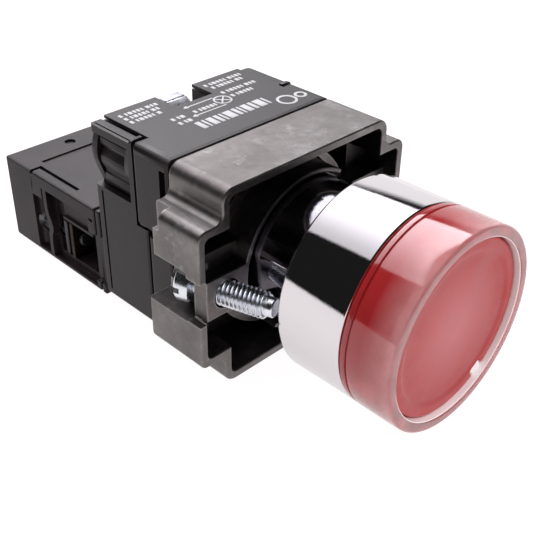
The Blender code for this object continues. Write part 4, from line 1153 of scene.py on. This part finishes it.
def softbox(name, radiance, depth=SOFTBOX_DEPTH):
    """A large overhead panel, dimmer towards its left end."""
    left, right = (edge * SOFTBOX_HEIGHT for edge in SOFTBOX_EDGES)
    near, far = (edge * SOFTBOX_HEIGHT for edge in depth)
    light = bpy.data.lights.new(name, "AREA")
    light.shape = "RECTANGLE"
    light.size = right - left
    light.size_y = far - near
    light.energy = radiance * math.pi * light.size * light.size_y
    lamp = bpy.data.objects.new(name, light)
    lamp.location = ((left + right) / 2.0, (near + far) / 2.0, SOFTBOX_HEIGHT)
    lamp.visible_camera = False
    add_to_scene(lamp)
    light.use_nodes = True
    wiring = Wiring(light.node_tree)
    across = wiring.part(wiring.add("NewGeometry").outputs["Parametric"], "X")
    emission = wiring.nodes["Emission"]
    wiring.feed(emission.inputs["Color"], (0.97, 0.955, 1.0))
    wiring.feed(emission.inputs["Strength"], wiring.range(across, 0.0, 0.6, 0.40, 1.0, "SMOOTHSTEP"))
    return lamp


def table():
    """A pale round table top under the object."""
    build = bmesh.new()
    bmesh.ops.create_circle(build, cap_ends=True, segments=96, radius=2.5)
    top = piece_from("table_top", build)
    top.location = (0.0, 0.0, CAD_BOX[0].z - 0.0001)
    paint = Paint("white_table")
    pale = tuple(FLOOR_TONE * c for c in (1.0, 0.965, 0.975))
    patches = paint.mix(paint.noise(60.0, 2.0), pale, tuple(0.97 * c for c in pale))
    paint.set(Base_Color=patches, Roughness=0.65)
    paint.set(Emission_Color=(1.0, 0.975, 0.98), Emission_Strength=paint.rays(TABLE_GLOW))
    top.data.materials.append(paint.material)


def lamps():
    """One overhead softbox for each kind of surface, and a fill from the front for the brightest pieces."""
    groups = {name: bpy.data.collections.new(f"lit_by_{name}") for name in SOFTBOX_RADIANCE}
    filled = bpy.data.collections.new("lit_from_the_front")
    for piece in [found for found in bpy.context.scene.objects if found.type == "MESH"]:
        names = {slot.material.name for slot in piece.material_slots if slot.material}
        kind = "zinc" if names & SATIN_METALS else "tinted" if names & TINTED else "bright"
        kind = "plastic" if names & DULL_PLASTICS else kind
        groups[kind].objects.link(piece)
        if names & FILLED:
            filled.objects.link(piece)
    softbox("softbox_fill", FILL_RADIANCE, FILL_DEPTH).light_linking.receiver_collection = filled
    for name, radiance in SOFTBOX_RADIANCE.items():
        softbox(f"softbox_{name}", radiance).light_linking.receiver_collection = groups[name]


def room():
    """A pale backdrop low on the right, and a dark room elsewhere."""
    world = bpy.data.worlds.new("studio")
    bpy.context.scene.world = world
    world.use_nodes = True
    wiring = Wiring(world.node_tree)
    direction = wiring.add("TexCoord").outputs["Generated"]
    beside = wiring.range(wiring.dot(direction, BACKDROP_TOWARDS), *BACKDROP_SPREAD, 0.0, 1.0, "SMOOTHSTEP")
    low_down = wiring.range(wiring.part(direction, "Z"), *BACKDROP_TOP, 1.0, 0.0, "SMOOTHSTEP")
    backdrop = wiring.math("MULTIPLY", wiring.math("MULTIPLY", beside, low_down), BACKDROP_GLOW)
    path = wiring.add("LightPath")
    bounced = wiring.math("MAXIMUM", path.outputs["Is Glossy Ray"], path.outputs["Is Transmission Ray"])
    mirrored_room = wiring.math("MULTIPLY", bounced, wiring.math("ADD", backdrop, DARK_ROOM))
    background = wiring.nodes["Background"]
    wiring.feed(background.inputs["Color"], (1.0, 0.99, 1.0))
    wiring.feed(background.inputs["Strength"], wiring.math("ADD", wiring.rays(ROOM_GLOW), mirrored_room))


CAMERA_ANGLES = (-45.34, 33.81, 0.94)  # azimuth, elevation and roll in degrees
CAMERA_AIM = Vector((-7.385, 0.059, 0.0))
CAMERA_DISTANCE = 120.53
CAMERA_LENS = 60.33


def camera():
    """The camera stands to the left, above and in front of the button."""
    azimuth, elevation, roll = map(math.radians, CAMERA_ANGLES)
    back = Vector((math.sin(azimuth) * math.cos(elevation), -math.cos(azimuth) * math.cos(elevation),
                   math.sin(elevation)))
    flat_right = Vector((math.cos(azimuth), math.sin(azimuth), 0.0))
    flat_up = back.cross(flat_right)
    right = flat_right * math.cos(roll) + flat_up * math.sin(roll)
    up = flat_up * math.cos(roll) - flat_right * math.sin(roll)
    data = bpy.data.cameras.new("camera")
    data.sensor_width = 36.0
    data.lens = CAMERA_LENS
    data.clip_start = 0.005
    data.clip_end = 20.0
    eye = bpy.data.objects.new("camera", data)
    turn = Matrix((right, up, back)).transposed().to_4x4()
    eye.matrix_world = Matrix.Translation(LAY @ CAMERA_AIM + back * CAMERA_DISTANCE * MM) @ turn
    add_to_scene(eye)
    bpy.context.scene.camera = eye


bpy.context.scene.view_settings.view_transform = "Standard"
table()
lamps()
room()
camera()
